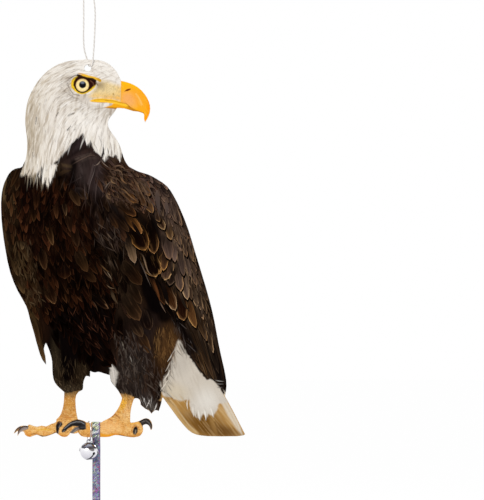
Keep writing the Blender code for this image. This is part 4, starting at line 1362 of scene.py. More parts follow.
def flow_at(points, guides):
    """The direction of the plumage at each point: the guides' own directions, each weighed by the
    inverse fourth power of its distance."""
    middles, ways = [], []
    for guide, in guides:
        line = smooth_line(guide.reshape(-1, 2), 14)
        step = np.diff(line, axis=0)
        middles.append((line[1:] + line[:-1]) / 2)
        ways.append(step / np.linalg.norm(step, axis=1)[:, None])
    middles, ways = np.vstack(middles), np.vstack(ways)
    gap = ((points[:, None] - middles[None]) ** 2).sum(-1)
    weight = 1 / (gap + 6.0) ** 2
    way = weight @ ways
    return way / np.linalg.norm(way, axis=1)[:, None]


ALONG = np.array([0.0, 0.16, 0.34, 0.54, 0.70, 0.83, 0.93, 1.0])
ACROSS = np.array([-1.0, -0.62, 0.0, 0.62, 1.0])
BROADEST = 0.35  # where along a feather it is broadest
TIP_LIGHT = 1.25
SHADOW_DROP = 0.000012


def feather_finish():
    """A printed feather: its heart, a pale rim by distance from the edge, a shaft and fine barbs."""
    finish = Finish("printed_feathers", Roughness=0.5, Specular_IOR_Level=0.0)
    across, along = finish.sheet("lay")
    edge = finish.number("edge")
    wide = finish.number("rim_width")
    off = abs(across - 0.5)
    barb = ((along * 1.15 + off * 7.0) * TURN).wave()
    lean = finish.number("lean")
    streaks = finish.node("CombineXYZ", None, {0: across * 7.0, 1: along * 0.05, 2: lean * 9.0})
    streak = finish.noise(streaks, 1.0, 3.0, 0.6)
    shaft = 1 - off.eased(0.02, 0.12)
    ragged = edge + barb * 0.12
    side = ((across - 0.5) * lean + 0.82).eased(0.0, 1.0)
    shine = finish.number("rim_strength") * side
    rim = (1 - (ragged / wide).eased(0.15, 1.1)) * shine
    glow = (1 - (ragged / wide).eased(0.6, 3.0)) * shine * 0.42
    dim, pale = finish.painted("dim"), finish.painted("rim")
    tone = finish.mix(barb * 0.10 + 0.10, finish.painted("tone"), dim)
    tone = finish.mix(streak.eased(0.42, 0.62) * 0.75, tone, dim)
    tone = finish.mix((1 - streak).eased(0.56, 0.72) * 0.16, tone, pale)
    tone = finish.mix(shaft * 0.30, tone, dim)
    tone = finish.mix(glow, tone, finish.mix(0.5, pale, dim))
    tone = finish.mix(rim, tone, pale)
    finish.give("Base Color", tone)
    finish.relief(barb * 0.5 + 0.5, 0.000015, 0.3)
    return finish


def lay_feathers(name, tips, ways, lengths, widths, hearts, rims, finish, rim_width, strength, point, bend,
                 seed, rise=0.0, fade=0.45, foot_light=0.5, shadow=1.2, jitter=0.00002):
    """Feathers as grids of points. Along a feather s runs from 0 at its foot to 1 at its tip, and t
    across it from -1 to 1. Half its width is half the full width times 1 - 0.75 (1 - s/0.35)^2 up to
    s = 0.35, then (1 - ((s - 0.35)/0.65)^k)^0.6, with k from pointed to blunt, and two sine waves of
    7 and 5 percent ripple the edge. The middle line bends by bend (s^2 - 1) lengths, and the height
    goes from FEATHER_RISE's first value at the foot to its second at the tip. Colours fade into the
    painted ground towards the foot, the light grows from foot_light there to TIP_LIGHT, and the rim
    comes in from s = 0.4. Each feather has its printed shadow, the same shape in near black, shadow
    steps further on and just below it."""
    rng = np.random.default_rng(seed)
    n = len(tips)
    s, t = ALONG[None, :, None], ACROSS[None, None, :]
    point = np.broadcast_to(point, n)[:, None, None]
    k = 1.3 + 5.5 * (1 - point) ** 1.3
    foot = 1 - np.clip(1 - s / BROADEST, 0, 1) ** 2 * 0.75
    tip = (1 - np.clip((s - BROADEST) / 0.65, 0, 1) ** k) ** 0.6
    ripple = rng.random((2, n, 1, 1)) * TURN
    ripple = 1 + 0.07 * np.sin(15 * s + ripple[0] + t) + 0.05 * np.sin(29 * s + ripple[1])
    half = widths[:, None, None] / 2 * foot * tip * ripple
    length = lengths[:, None, None]
    side = square_off(ways)[:, None, None]
    curve = np.broadcast_to(bend, n)[:, None, None] * (s ** 2 - 1) * length
    run = (s - 1) * length
    tip_round = -np.abs(t) ** 2 * half * 0.25
    places = (tips[:, None, None] + (run + tip_round)[..., None] * ways[:, None, None]
              + (t * half + curve)[..., None] * side)
    edge = np.minimum((1 - np.abs(t)) * half, (1 - s) * length * 0.8)
    lift = FEATHER_RISE[0] + (FEATHER_RISE[1] - FEATHER_RISE[0]) * s + 0 * t
    lift = lift + rng.random((n, 1, 1)) * jitter + np.broadcast_to(rise, n)[:, None, None]
    rows, columns = len(ALONG), len(ACROSS)
    cast = places + ways[:, None, None] * shadow + (t * 0.35)[..., None] * side
    flat = onto_board(np.stack([places, cast]).reshape(-1, 2))
    quads = repeated(flat, grid_quads(rows, columns), 2 * n, rows * columns)
    ground = picture_colours(flat)
    fading = (ease(0.0, fade, s) + 0 * t + 0 * length).ravel()[:, None]
    heart = np.repeat(hearts, rows * columns, 0)
    light = foot_light + (TIP_LIGHT - foot_light) * ease(0.1, 1.05, s) ** 1.4
    heart = heart * np.broadcast_to(light, (n, rows, columns)).ravel()[:, None]
    dark = np.broadcast_to(colour(8, 5, 4), heart.shape)
    fading = np.vstack([fading, fading * (shadow > 0)])
    tone = ground + fading * (np.vstack([heart, dark]) - ground)
    lean = np.repeat(rng.choice([-1.0, 1.0], n) * rng.random(n) * 1.6, rows * columns)
    lift = np.stack([lift, lift - SHADOW_DROP])
    uv = np.stack([np.broadcast_to((t + 1) / 2, (n, rows, columns)).ravel(),
                   np.broadcast_to(s * length, (n, rows, columns)).ravel()], -1)
    strength = np.broadcast_to(strength, n)[:, None, None] * ease(0.4, 0.97, s) ** 1.3 + 0 * t
    wide = np.repeat(np.broadcast_to(rim_width, n), rows * columns)
    both_sides(name, flat, lift.ravel(), quads, finish, np.vstack([uv, uv]), tone=np.clip(tone, 0, 1),
               dim=np.clip(tone * 0.45, 0, 1), rim=np.tile(np.repeat(rims, rows * columns, 0), (2, 1)),
               edge=np.tile(edge.ravel(), 2), lean=np.tile(lean, 2), rim_width=np.tile(wide, 2),
               rim_strength=np.concatenate([strength.ravel(), 0 * strength.ravel()]))


def repeated(places, quads, count, step):
    """The quads once for each of count like pieces, step points apart. Those stay that have an area,
    by their two diagonals, and whose middle is on the board."""
    quads = (quads[None] + (np.arange(count) * step)[:, None, None]).reshape(-1, 4)
    quads = facing_back(places, quads)
    first = places[quads[:, 2]] - places[quads[:, 0]]
    second = places[quads[:, 3]] - places[quads[:, 1]]
    size = np.abs(first[:, 0] * second[:, 1] - first[:, 1] * second[:, 0])
    middle = places[quads].mean(1)
    return quads[(size > 1e-4) & (depth_in_board(middle) > -0.05)]


def scattered(region, across, along, seed, jitter=0.35):
    """Places in a region on staggered rows, each moved a little at random."""
    rng = np.random.default_rng(seed)
    low, high = region.min(0), region.max(0)
    xs = np.arange(low[0], high[0] + across, across)
    ys = np.arange(low[1], high[1] + along, along)
    grid = np.stack(np.meshgrid(xs, ys), -1)
    grid[1::2, :, 0] += across / 2
    places = grid.reshape(-1, 2)
    places = places + (rng.random(places.shape) - 0.5) * 2 * jitter * (across, along)
    inside = (depth_inside(places, region) > 0) & (depth_in_board(places) > 0.3)
    return places[inside]


WARMER = np.array([1.04, 0.93, 0.86])
SIZE_SPREAD = 0.35


def tract(name, region, tones, rims, finish, across, along, length, width, seed, rim_width, strength,
          point, fade, shadow, sway):
    """A field of feathers over a region, lying along the flow, each of its own size and shade."""
    rng = np.random.default_rng(seed)
    tips = scattered(places_of(region), across, along, seed)
    n = len(tips)
    ways = flow_at(tips, FLOWS)
    turn = rng.normal(0, sway, n)
    ways = turned(ways, np.cos(turn), np.sin(turn))
    size = 1 + (rng.random(n) - 0.5) * 2 * SIZE_SPREAD
    tones, rims = tones_of(tones), tones_of(rims)
    patch = 0.35 + 1.3 * ease(0.15, 0.85, grain(tips, 17, seed + 7, 1.6, 1.2))
    hearts = tones[rng.integers(0, len(tones), n)] * (patch * (0.6 + 0.8 * rng.random(n)))[:, None]
    hearts = hearts * WARMER * 0.95
    edges = rims[rng.integers(0, len(rims), n)] * (0.5 + 0.8 * rng.random((n, 1)))
    lay_feathers(name, tips, ways, length * size, width * (0.75 + 0.5 * rng.random(n)), hearts, edges,
                 finish, rim_width * (0.7 + 0.6 * rng.random(n)), strength * rng.random(n) ** 1.4 * 1.5,
                 point, rng.normal(0, 0.05, n), seed + 1, fade=fade, shadow=shadow)


HEART_LIGHT = (0.90, 0.84, 0.79)
RIM_LIGHT = (1.15, 1.08, 1.02)
FIRST_RISE = 0.00006
NEXT_RISE = 0.0000018  # each chosen feather lies this much above the one before it


def chosen_feathers(name, table, finish, seed, fade, shadow, foot_light, bright, heart_light=HEART_LIGHT):
    """Feathers set one by one, from a table's rows. The heading is in degrees from across to down."""
    shapes, hearts, rims, edges = (np.array(field) for field in zip(*table))
    turn = np.radians(shapes[:, 2])
    ways = np.stack([np.cos(turn), np.sin(turn)], -1)
    hearts = np.array([colour(*tone) for tone in hearts]) * heart_light
    rims = np.array([colour(*tone) for tone in rims]) * RIM_LIGHT
    order = FIRST_RISE + np.arange(len(table)) * NEXT_RISE
    lay_feathers(name, shapes[:, :2], ways, shapes[:, 3], shapes[:, 4], hearts, rims, finish, edges[:, 1],
                 edges[:, 0] * bright, shapes[:, 5], 0.0, seed, order, fade, foot_light, shadow, jitter=0.0)


def hair_finish():
    """Printed hairs: the painted tone, satin."""
    finish = Finish("printed_hairs", Roughness=0.5, Specular_IOR_Level=0.0)
    spot = finish.places()[0]
    ink = finish.noise(spot, 1400.0, 2.0)
    tone = finish.mix(ink.eased(0.35, 0.75) * 0.12, finish.painted("tone"), finish.painted("dim"))
    finish.give("Base Color", tone)
    return finish


BLADE = np.array([-1.0, 0.0, 1.0])
BLADE_JITTER = 0.00003
LOCK_RISE = 0.00003
NEXT_LOCK = 0.0000015  # each lock lies this much above the one before it


def lay_blades(name, line, way, half, strong, edge, opacity, tones, lift, finish):
    """Blades three points wide along their middle lines. The tone is laid over the painted ground with
    the strength strong along the blade, and edge times that at its two edges."""
    n, rows = line.shape[:2]
    side = square_off(way)
    places = line[:, :, None] + (half[..., None] * BLADE)[..., None] * side[:, :, None]
    flat = onto_board(places.reshape(-1, 2))
    quads = repeated(flat, grid_quads(rows, 3), n, rows * 3)
    ground = picture_colours(flat)
    strong = np.broadcast_to(strong, (n, rows))[..., None]
    middle = np.where(BLADE == 0, 1.0, edge)[None, None]
    amount = (strong * middle * opacity[:, None, None]).reshape(-1, 1)
    tone = ground + amount * (np.repeat(tones, rows * 3, 0) - ground)
    both_sides(name, flat, np.repeat(lift, rows * 3), quads, finish, tone=np.clip(tone, 0, 1),
               dim=np.clip(tone * 0.6, 0, 1))


def lay_hairs(name, roots, guides, lengths, widths, tones, opacity, finish, seed, rise, curl, rows=9):
    """Thin blades that follow the flow from their roots: each row of points steps on along the flow
    field, half the width is sin(pi s^0.8)^0.8, and the tone fades into the ground at both ends."""
    rng = np.random.default_rng(seed)
    n = len(roots)
    place = np.array(roots, float)
    turn = rng.normal(0, curl, n)
    c, s = np.cos(turn), np.sin(turn)
    line, ways = [], []
    for _ in range(rows):
        way = turned(flow_at(place, guides), c, s)
        line.append(place)
        ways.append(way)
        place = place + way * (lengths / (rows - 1))[:, None]
    share = np.linspace(0, 1, rows)
    half = (widths[:, None] / 2) * (np.sin(np.pi * np.clip(share, 0.02, 0.98) ** 0.8) ** 0.8)[None]
    strong = np.sin(np.pi * np.clip(share, 0, 1)) ** 0.7
    lift = STROKE_RISE + rise + rng.random(n) * BLADE_JITTER
    lay_blades(name, np.stack(line, 1), np.stack(ways, 1), half, strong, 0.25, opacity, tones, lift, finish)


def hairs_over(name, guides, region, tones, finish, count, length, width, opacity, seed, curl, rise):
    """Hairs scattered over a region, each with its own length and one of the given tones."""
    rng = np.random.default_rng(seed)
    region = places_of(region)
    low, high = region.min(0), region.max(0)
    spots = low + rng.random((count * 4, 2)) * (high - low)
    spots = spots[(depth_inside(spots, region) > 0) & (depth_in_board(spots) > 0.4)][:count]
    n = len(spots)
    tones = tones_of(tones)
    tones = tones[rng.integers(0, len(tones), n)]
    lay_hairs(name, spots, guides, length * (0.55 + 0.9 * rng.random(n)),
              width * (0.6 + 0.8 * rng.random(n)), tones, opacity * (0.4 + 0.6 * rng.random(n)),
              finish, seed + 1, rise, curl)


plume = feather_finish()
hair = hair_finish()

TRACTS = (
    # name, region, hearts, rims, then steps across and along, length, width, seed, rim width,
    # rim strength, pointedness, fade, shadow and sway
    ("far_wing_feathers",
     "4 180 14 176 18 200 16 240 24 280 40 320 44 350 30 318 10 270 2 220",
     "30 16 8 18 9 5 48 30 16",
     "104 82 54",
     5, 7, 24, 6, 101, 1.2, 0.25, 0.95, 0.8, 0.4, 0.16),
    ("breast_feathers",
     "24 186 46 190 60 184 78 190 90 214 100 250 120 290 116 320 92 310 60 318 44 330 "
     "30 300 18 260 14 220",
     "12 4 3 20 8 4 34 16 8 52 29 16 8 3 2",
     "104 66 40 70 40 24",
     5.4, 7, 24, 6.4, 103, 1.0, 0.28, 0.97, 0.85, 0.4, 0.16),
    ("mid_breast_feathers",
     "90 206 104 204 124 230 134 262 142 300 140 322 120 318 104 280 94 240",
     "20 11 8 34 22 17 12 6 5 46 30 20",
     "96 74 54",
     7, 9, 26, 8, 105, 1.0, 0.25, 0.95, 0.85, 0.4, 0.16),
    ("belly_feathers",
     "50 318 62 316 95 308 120 322 122 368 100 372 84 368 60 352 50 340",
     "8 3 2 14 6 4",
     "84 48 30 46 26 17",
     8, 8, 18, 6, 107, 0.8, 0.35, 0.95, 0.45, 0.7, 0.16),
    ("shoulder_feathers",
     "146 176 168 188 178 206 184 226 172 232 160 216 154 196",
     "82 67 61 62 50 45 96 79 69 44 35 33",
     "140 112 86",
     4.5, 6.5, 17, 4.8, 109, 1.0, 0.35, 0.9, 0.45, 0.7, 0.16),
    ("scapular_feathers",
     "110 166 126 166 146 176 158 190 162 214 150 216 132 212 112 206 102 192",
     "50 35 30 78 55 42 30 21 19 70 55 50",
     "150 114 82 118 86 62",
     4.5, 5.5, 16, 4.6, 111, 0.9, 0.5, 0.9, 0.45, 0.7, 0.16),
    ("outer_wing_feathers",
     "168 214 182 220 194 250 206 285 216 325 206 330 196 300 184 280 176 256 170 236",
     "74 57 47 52 39 33 98 79 67 32 22 18",
     "166 130 94 140 108 78",
     4.8, 8, 22, 5.6, 113, 0.9, 0.55, 0.9, 0.45, 0.7, 0.08),
)
for name, region, hearts, rims, *measures in TRACTS:
    tract(name, region, hearts, rims, plume, *measures)


# tip, heading, length, width, pointedness; heart; rim; rim strength, rim width
WING_PRIMARIES = rows_of("""
224 392 74 70 8 .9, 22 16 14, 40 32 28, .4 .8
219 374 74 66 8 .8, 30 23 19, 70 58 46, .5 .7
214 380 70 78 7 .8, 52 38 27, 90 70 50, .6 .7
208 378 66 80 8 .8, 46 33 22, 96 72 46, .6 .8
203 372 64 76 8 .8, 40 29 21, 90 68 46, .55 .8
198 362 63 70 7 .8, 26 18 14, 70 52 36, .5 .8
190 344 62 60 8 .7, 14 9 8, 50 38 28, .5 .8
176 322 62 60 8 .7, 10 6 5, 40 28 20, .5 .8
165 305 64 46 8 .7, 16 9 7, 96 62 36, .5 .9
159 296 66 40 5 .7, 48 30 18, 84 58 36, .4 .8
""")
WING_COVERTS = rows_of("""
213.5 353 72 40 6.5 .7, 52 39 28, 176 146 112, .75 .8
207 341 70 44 7.5 .6, 56 41 28, 140 108 74, .75 .8
196 328 71 44 9 .5, 90 60 34, 184 142 88, .9 .9
207 314 73 30 5 .7, 62 48 38, 130 100 72, .6 .7
202.5 312 75 32 6 .6, 66 50 38, 176 146 112, .7 .8
184 320.8 78 40 13 .3, 38 19 11, 176 132 84, .95 .9
175.5 310.5 66 34 11 .35, 62 36 18, 176 146 112, .95 .9
197.5 307.5 76 36 7 .5, 76 60 46, 176 146 112, .75 .8
192 300 76 34 6 .5, 60 46 37, 110 88 66, .5 .8
187.5 299.8 80 40 8.5 .4, 94 78 68, 200 168 128, .9 .8
181 291.5 80 36 9.5 .45, 88 72 64, 190 150 106, .85 .8
197 286 73 26 5.5 .6, 80 63 52, 140 108 80, .6 .8
191 277 74 30 6.5 .6, 92 76 68, 150 120 92, .55 .8
184 276 78 32 7 .5, 78 64 58, 128 100 76, .5 .8
169.5 285.5 100 26 10 .3, 40 29 24, 120 98 80, .7 .8
164.8 280.4 102 30 12.5 .3, 72 54 44, 204 166 118, .95 .9
156 277.2 70 32 19 .3, 18 9 6, 190 146 92, .95 1
163.4 270.6 96 22 8 .4, 72 50 36, 196 146 86, .9 .8
159.6 274 96 20 5 .5, 40 24 16, 190 140 80, .8 .7
175 262 86 28 7 .5, 106 88 80, 150 122 98, .55 .8
170 259.6 80 28 10.5 .35, 94 76 68, 160 124 90, .75 .8
187 257 74 26 6 .7, 72 57 48, 150 116 84, .65 .8
194 262 72 24 5 .8, 94 74 58, 160 126 90, .65 .8
154.3 253.9 82 34 12.5 .3, 26 14 9, 160 118 74, .95 .9
145.4 250.6 66 32 17.5 .3, 24 11 7, 156 112 62, .9 1.3
181 246 74 24 6 .7, 92 74 62, 154 120 86, .65 .8
188 240 71 22 5 .8, 84 66 54, 150 118 88, .6 .8
171.3 239.8 76 20 8 .5, 92 70 48, 176 138 94, .75 .9
141.9 233.8 52 28 9 .35, 104 68 34, 156 112 66, .8 1.2
164.4 229.8 62 19 8 .5, 58 40 28, 196 162 118, .75 .8
182 226 70 20 5 .8, 96 78 68, 156 122 92, .6 .8
176 222 72 20 5.5 .7, 80 66 60, 140 110 84, .5 .8
160 222 58 16 6 .6, 50 36 27, 150 116 78, .6 .8
136 216 40 22 9 .4, 48 30 18, 116 78 44, .75 1
153 212.8 58 20 8 .5, 90 64 40, 166 126 80, .75 .9
146 206 54 18 7 .5, 78 54 36, 140 100 60, .7 .8
139 203.5 36 22 7 .5, 84 56 34, 160 114 66, .8 .9
150 196 58 18 8 .5, 100 72 48, 140 104 70, .6 .8
135 263.5 74 27 9.5 .7, 116 94 72, 146 124 104, .6 .9
""")
BODY_FEATHERS = rows_of("""
28 262 74 26 8 .9, 78 60 40, 110 90 62, .3 .8
22 250 98 16 7 .9, 92 76 54, 120 100 72, .3 .9
18 276 78 22 8 .9, 84 68 46, 108 90 64, .3 .9
24 294 72 24 9 .9, 88 70 46, 110 90 62, .3 .9
36 292 74 22 8 .9, 60 42 26, 92 70 44, .3 .9
30 318 72 26 7 .9, 70 52 32, 96 76 50, .3 .9
40 346 74 40 7 .8, 66 48 30, 110 86 56, .5 .8
45.5 363 73 44 6 .9, 92 70 44, 126 100 68, .5 .7
41.5 360 73 40 5 .9, 78 60 40, 150 130 100, .6 .7
53 245.5 74 28 7 .8, 58 39 24, 128 96 62, .75 .8
45.5 270 76 24 9 .7, 56 37 24, 106 80 52, .7 .8
55 304 66 24 10 .5, 46 28 18, 150 112 74, .8 .8
65 279 84 14 14 .3, 40 22 13, 96 66 42, .6 1
57 219 84 20 5 .7, 74 48 30, 110 76 48, .5 .8
71 232 78 22 6 .7, 40 25 17, 96 66 44, .6 .8
66 216 80 18 5 .7, 62 46 32, 140 112 80, .6 .7
34 222 88 18 6 .8, 46 28 16, 90 64 38, .6 .8
36 208 92 16 6 .8, 52 30 18, 86 58 34, .5 .8
78 247 76 22 8 .7, 42 27 18, 86 62 42, .6 .8
87.5 272 62 24 10 .6, 66 46 28, 92 66 42, .5 .9
96 282 44 20 9 .5, 54 36 22, 80 56 36, .5 .9
141.5 285 52 30 13 .45, 46 29 18, 90 66 42, .7 1
139.5 320.5 60 32 14 .35, 56 40 27, 120 88 58, .75 .9
141 304 62 26 9 .5, 46 32 22, 110 84 58, .6 .8
108 309 42 22 8 .6, 30 19 14, 122 90 62, .7 .8
150 330 70 22 13 .4, 28 18 15, 110 88 68, .6 .8
142.5 337 58 22 10 .5, 62 46 34, 110 88 62, .5 .9
150 353 56 32 12 .45, 76 54 34, 122 94 64, .7 .9
88 199 40 16 9 .6, 62 46 30, 84 62 42, .5 .9
80 206 60 20 8 .7, 74 54 36, 98 74 50, .5 .9
129 232 50 24 7 .6, 54 38 26, 94 68 44, .55 .9
118 229 60 18 7 .6, 62 42 26, 104 74 46, .5 .9
""")

WHOLE_HEAD = ("40 66 84 58 110 66 118 78 96 76 76 74 68 88 76 98 92 104 116 107 112 118 "
              "116 140 100 140 84 130 66 146 50 166 26 166 24 110")
HAIRS = (
    # name, guides, region, tones, then count, length, width, opacity, seed, curl and rise
    ("head_shade_hairs", HEAD_FLOWS,
     "22 80 60 58 84 62 70 92 84 100 76 118 64 146 52 165 38 168 24 162",
     "194 178 152 178 160 132 204 192 172",
     400, 20, 1.5, 0.75, 302, 0.09, 0.0),
    ("head_pale_hairs", HEAD_FLOWS,
     WHOLE_HEAD,
     "248 244 238 240 235 226 232 224 212",
     560, 15, 1.5, 0.75, 303, 0.09, 0.00002),
    ("head_fine_hairs", HEAD_FLOWS,
     WHOLE_HEAD,
     "180 168 150 160 146 126",
     260, 12, 0.6, 0.45, 305, 0.07, 0.00003),
    ("hackle_hairs", HEAD_FLOWS,
     "27 150 40 146 58 146 50 164 42 160 27 166",
     "236 230 220 206 194 176",
     80, 9, 1.4, 0.7, 307, 0.07, 0.0),
    ("collar_hairs", HEAD_FLOWS,
     "86 126 100 126 114 130 121 150 106 148 94 140",
     "240 238 234 206 202 196",
     80, 9, 1.2, 0.7, 309, 0.1, 0.0),
    ("chest_hairs", FLOWS,
     "74 140 84 138 92 150 108 160 112 180 104 200 90 204 76 190 62 175 58 162",
     "76 65 62 62 51 49",
     26, 20, 0.8, 0.45, 311, 0.3, 0.0),
    ("wispy_hairs", FLOWS,
     "92 208 108 212 122 236 126 258 108 262 94 240",
     "92 78 68 112 96 82 66 53 46",
     44, 11, 0.9, 0.5, 313, 0.4, 0.0),
    ("left_thigh_fur", FLOWS,
     "53 340 62 350 86 360 86 374 78 388 62 390 54 378",
     "56 44 32 30 20 13 12 6 4 84 68 48",
     170, 9, 1.0, 0.65, 315, 0.3, 0.0),
    ("left_cuff_fur", FLOWS,
     "54 374 62 384 76 384 87 372 86 388 78 393 62 393 54 386",
     "112 96 72 78 64 46 40 30 21 20 14 10",
     150, 6, 0.9, 0.75, 325, 0.4, 0.0),
    ("right_thigh_fur", FLOWS,
     "114 330 132 328 150 350 168 372 166 396 150 408 138 398 120 392 114 372",
     "84 74 68 66 46 32 24 17 14 98 86 76 14 9 8",
     420, 13, 1.3, 0.7, 317, 0.45, 0.0),
    ("ochre_tuft", FLOWS,
     "156 326 168 322 176 340 174 364 160 366 152 350",
     "134 98 56 104 72 40 52 35 20 30 21 15",
     170, 12, 1.0, 0.75, 319, 0.28, 0.0),
    ("flank_fluff", FLOWS,
     "14 240 30 238 37 262 42 302 28 304 17 272",
     "108 88 64 84 64 44 54 37 23 24 14 8",
     120, 9, 1.3, 0.55, 327, 0.35, 0.0),
    ("scapular_hairs", FLOWS,
     "108 170 124 166 150 180 160 200 158 214 140 210 114 204 102 192",
     "122 94 74 92 70 56 30 20 16 84 70 66",
     150, 9, 0.8, 0.6, 329, 0.4, 0.0),
    ("outer_wing_hairs", FLOWS,
     "160 190 174 200 190 236 206 280 216 330 208 340 190 290 172 240",
     "168 134 98 118 96 80 22 15 12 40 30 26",
     200, 9, 0.7, 0.6, 331, 0.15, 0.0),
    ("dark_wing_hairs", FLOWS,
     "168 314 178 316 198 350 190 352 180 340",
     "92 84 80 30 24 22 16 11 10",
     70, 14, 0.9, 0.7, 321, 0.25, 0.0),
    ("belly_dashes", FLOWS,
     "62 300 100 312 118 330 118 362 100 350 76 332",
     "96 58 40 70 42 30",
     46, 9, 0.9, 0.7, 323, 0.3, 0.0),
)

chosen_feathers("long_wing_feathers", WING_PRIMARIES, plume, 201, 0.45, 1.2, 0.5, 1.2)
chosen_feathers("wing_covert_feathers", WING_COVERTS, plume, 203, 0.6, 2.3, 0.35, 1.24)
chosen_feathers("body_feathers", BODY_FEATHERS, plume, 205, 0.95, 0.0, 0.2, 0.7,
                (0.70, 0.61, 0.54))
for name, guides, region, tones, *measures in HAIRS:
    hairs_over(name, guides, region, tones, hair, *measures)


def lay_locks(name, table, finish, rows=12, rise=0.0):
    """Locks and hairs that stand out: blades along listed lines. Half the width is
    sin(pi s^0.7)^0.8 of the line's own, from the root to a sharp tip, and the tone fades into the
    ground at the root only."""
    places, measures, tones = zip(*table)
    lines = np.stack([smooth_line(line.reshape(-1, 2), rows) for line in places])
    widths, amount = np.array(measures).T
    way = np.gradient(lines, axis=1)
    way /= np.linalg.norm(way, axis=-1, keepdims=True)
    share = np.linspace(0, 1, rows)
    half = (widths[:, None] / 2) * (np.sin(np.pi * np.clip(share, 0.06, 0.995) ** 0.7) ** 0.8)[None]
    tones = np.array([colour(*tone) for tone in tones])
    lift = STROKE_RISE + LOCK_RISE + rise + np.arange(len(table)) * NEXT_LOCK
    lay_blades(name, lines, way, half, ease(0, 0.45, share), 0.75, amount, tones, lift, finish)


# line; width, strength; tone
MANE_LOCKS = rows_of("""
28 150 26 163 24 176, 3 .9, 222 214 200
32 152 30 166 28.6 176.5, 3.2 .9, 240 235 226
35 150 34 164 33.4 176, 2.6 .9, 222 214 200
38 152 37.6 166 39.4 177.8, 2.6 .9, 240 235 226
37.2 164 37.4 170 36.8 175, 1.5 .9, 12 8 7
42.6 160 42.4 169 40.8 181, 3.4 .97, 12 8 7
39.4 168 39 173 37.8 177, 1 .8, 12 8 7
31.4 170 31.4 173.6 30.8 177, .9 .8, 12 8 7
27.6 168 26.4 172 24.6 176, .9 .8, 12 8 7
49 176 48.8 180.6 48.8 185.4, .9 .8, 12 8 7
53 172 52.4 177 51.6 181.6, .9 .8, 60 50 42
46 164 43.4 174 42.6 184.4, 2.6 .9, 240 235 226
48 160 46.6 174 47 187, 3.4 .9, 222 214 200
52 160 50.4 172 50.4 184, 3 .85, 240 235 226
55 164 54 171 52.6 178.5, 2.2 .85, 222 214 200
47 176 46.2 180 46.4 184, .8 .7, 12 8 7
30 168 28.6 172 26.2 175.6, .8 .7, 12 8 7
35 140 30 156 25 171, 1.2 .7, 176 164 146
44 132 38 150 36 166, 1.2 .6, 176 164 146
56 128 48 146 44 162, 1.2 .55, 176 164 146
64 138 58 148 53 160, 1.4 .5, 176 164 146
48 118 40 132 34 152, 1.4 .6, 176 164 146
38 104 32 122 29 142, 1.4 .6, 176 164 146
""")
COLLAR_LOCKS = rows_of("""
84 126 85.6 136 87 146, 2.6 .95, 240 235 226
88 126 91 138 95 152, 3.2 .9, 222 214 200
92 128 96 142 99.8 155.5, 3.4 .9, 240 235 226
97 130 99.4 144 100.6 157, 2.2 .9, 222 214 200
90.2 140 92.6 147 95 152, 1 .7, 120 116 112
103.2 141 103.6 148 102.2 157, 1.7 .95, 12 8 7
104 132 106 146 104.2 162.2, 2.4 .95, 240 235 226
108 134 108.6 146 108.2 156.5, 2.4 .9, 222 214 200
110 132 112.6 146 113.6 157.4, 2.6 .9, 240 235 226
112 130 116 144 116.6 155.6, 2.2 .9, 222 214 200
114 134 118.4 148 119.8 163, 2.6 .9, 240 235 226
107 146 108.4 152 109.4 157, .9 .8, 12 8 7
111 148 111.6 153 111.4 158, .8 .7, 90 82 76
98 134 101 142 102.4 149, .9 .7, 150 144 138
92 140 96.6 148 98 152, .9 .6, 150 144 138
108 110 104 116 100 124, .8 .7, 176 164 146
111 110 107 117 105 126, .8 .7, 176 164 146
113 110 110.6 116 110 124, .8 .6, 176 164 146
""")
# line; width, strength; tone: the soft dark edge of the breast that runs up under the mane
THROAT_SHADOW = rows_of("""
53 164.6 60 161 68 154 77 143, 3.6 .75, 34 24 20
60 158.6 68 150.6 76 141.4 83 134.4, 2.6 .85, 30 23 21
70 166 80 160 92 155 98 158, 1.4 .7, 96 78 68
72 158 82 155 90 153, 1 .7, 70 56 52
58 176 64 172 72 170, 4 .6, 50 36 22
96 162 94 172 90 184 88 196, 1 .6, 104 92 88
101 160 98 164 94 166, 1 .8, 140 122 108
100 158 104 164 110 168, 1 .7, 130 112 98
84 184 85 194 86 206, .9 .6, 88 76 72
98 176 96 190 95 204, 1 .6, 76 64 60
""")
SHOULDER_LOCKS = rows_of("""
112 168 116 166 121 166 126 170, 1.4 .8, 116 91 72
113 172 117 170 121 172 123 176, 1.4 .7, 116 91 72
111 178 112 182 116 184, 1.6 .8, 134 104 74
120 176 123 181 127 184, 1.6 .7, 128 94 62
104 190 108 184 112 181, 1.2 .7, 112 98 86
106 192 108 198 112 199, 2 .7, 112 88 64
118 188 124 190 130 196 138 202, 1.3 .7, 132 98 66
119 192 126 197 132 203 140 206, 1.2 .6, 104 76 52
121 182 126 186 130 190, 3.2 .8, 28 22 20
132 204 138 205 142 208, 3 .95, 12 8 7
112 204 116 210 118 214, 3.4 .7, 24 19 17
132 176 140 190 147 205, 1 .6, 126 96 68
138 178 146 192 152 206, 1 .6, 120 92 66
146 182 152 194 156 206, 1 .5, 110 90 74
157 190 158 204 160 214, 4.6 .6, 66 56 54
166 200 167 210 166 216, 3.6 .6, 76 64 60
176 206 180 216 182 226, 1.2 .6, 150 120 92
177 212 178 220 179 226, 1.6 .8, 12 8 7
""")
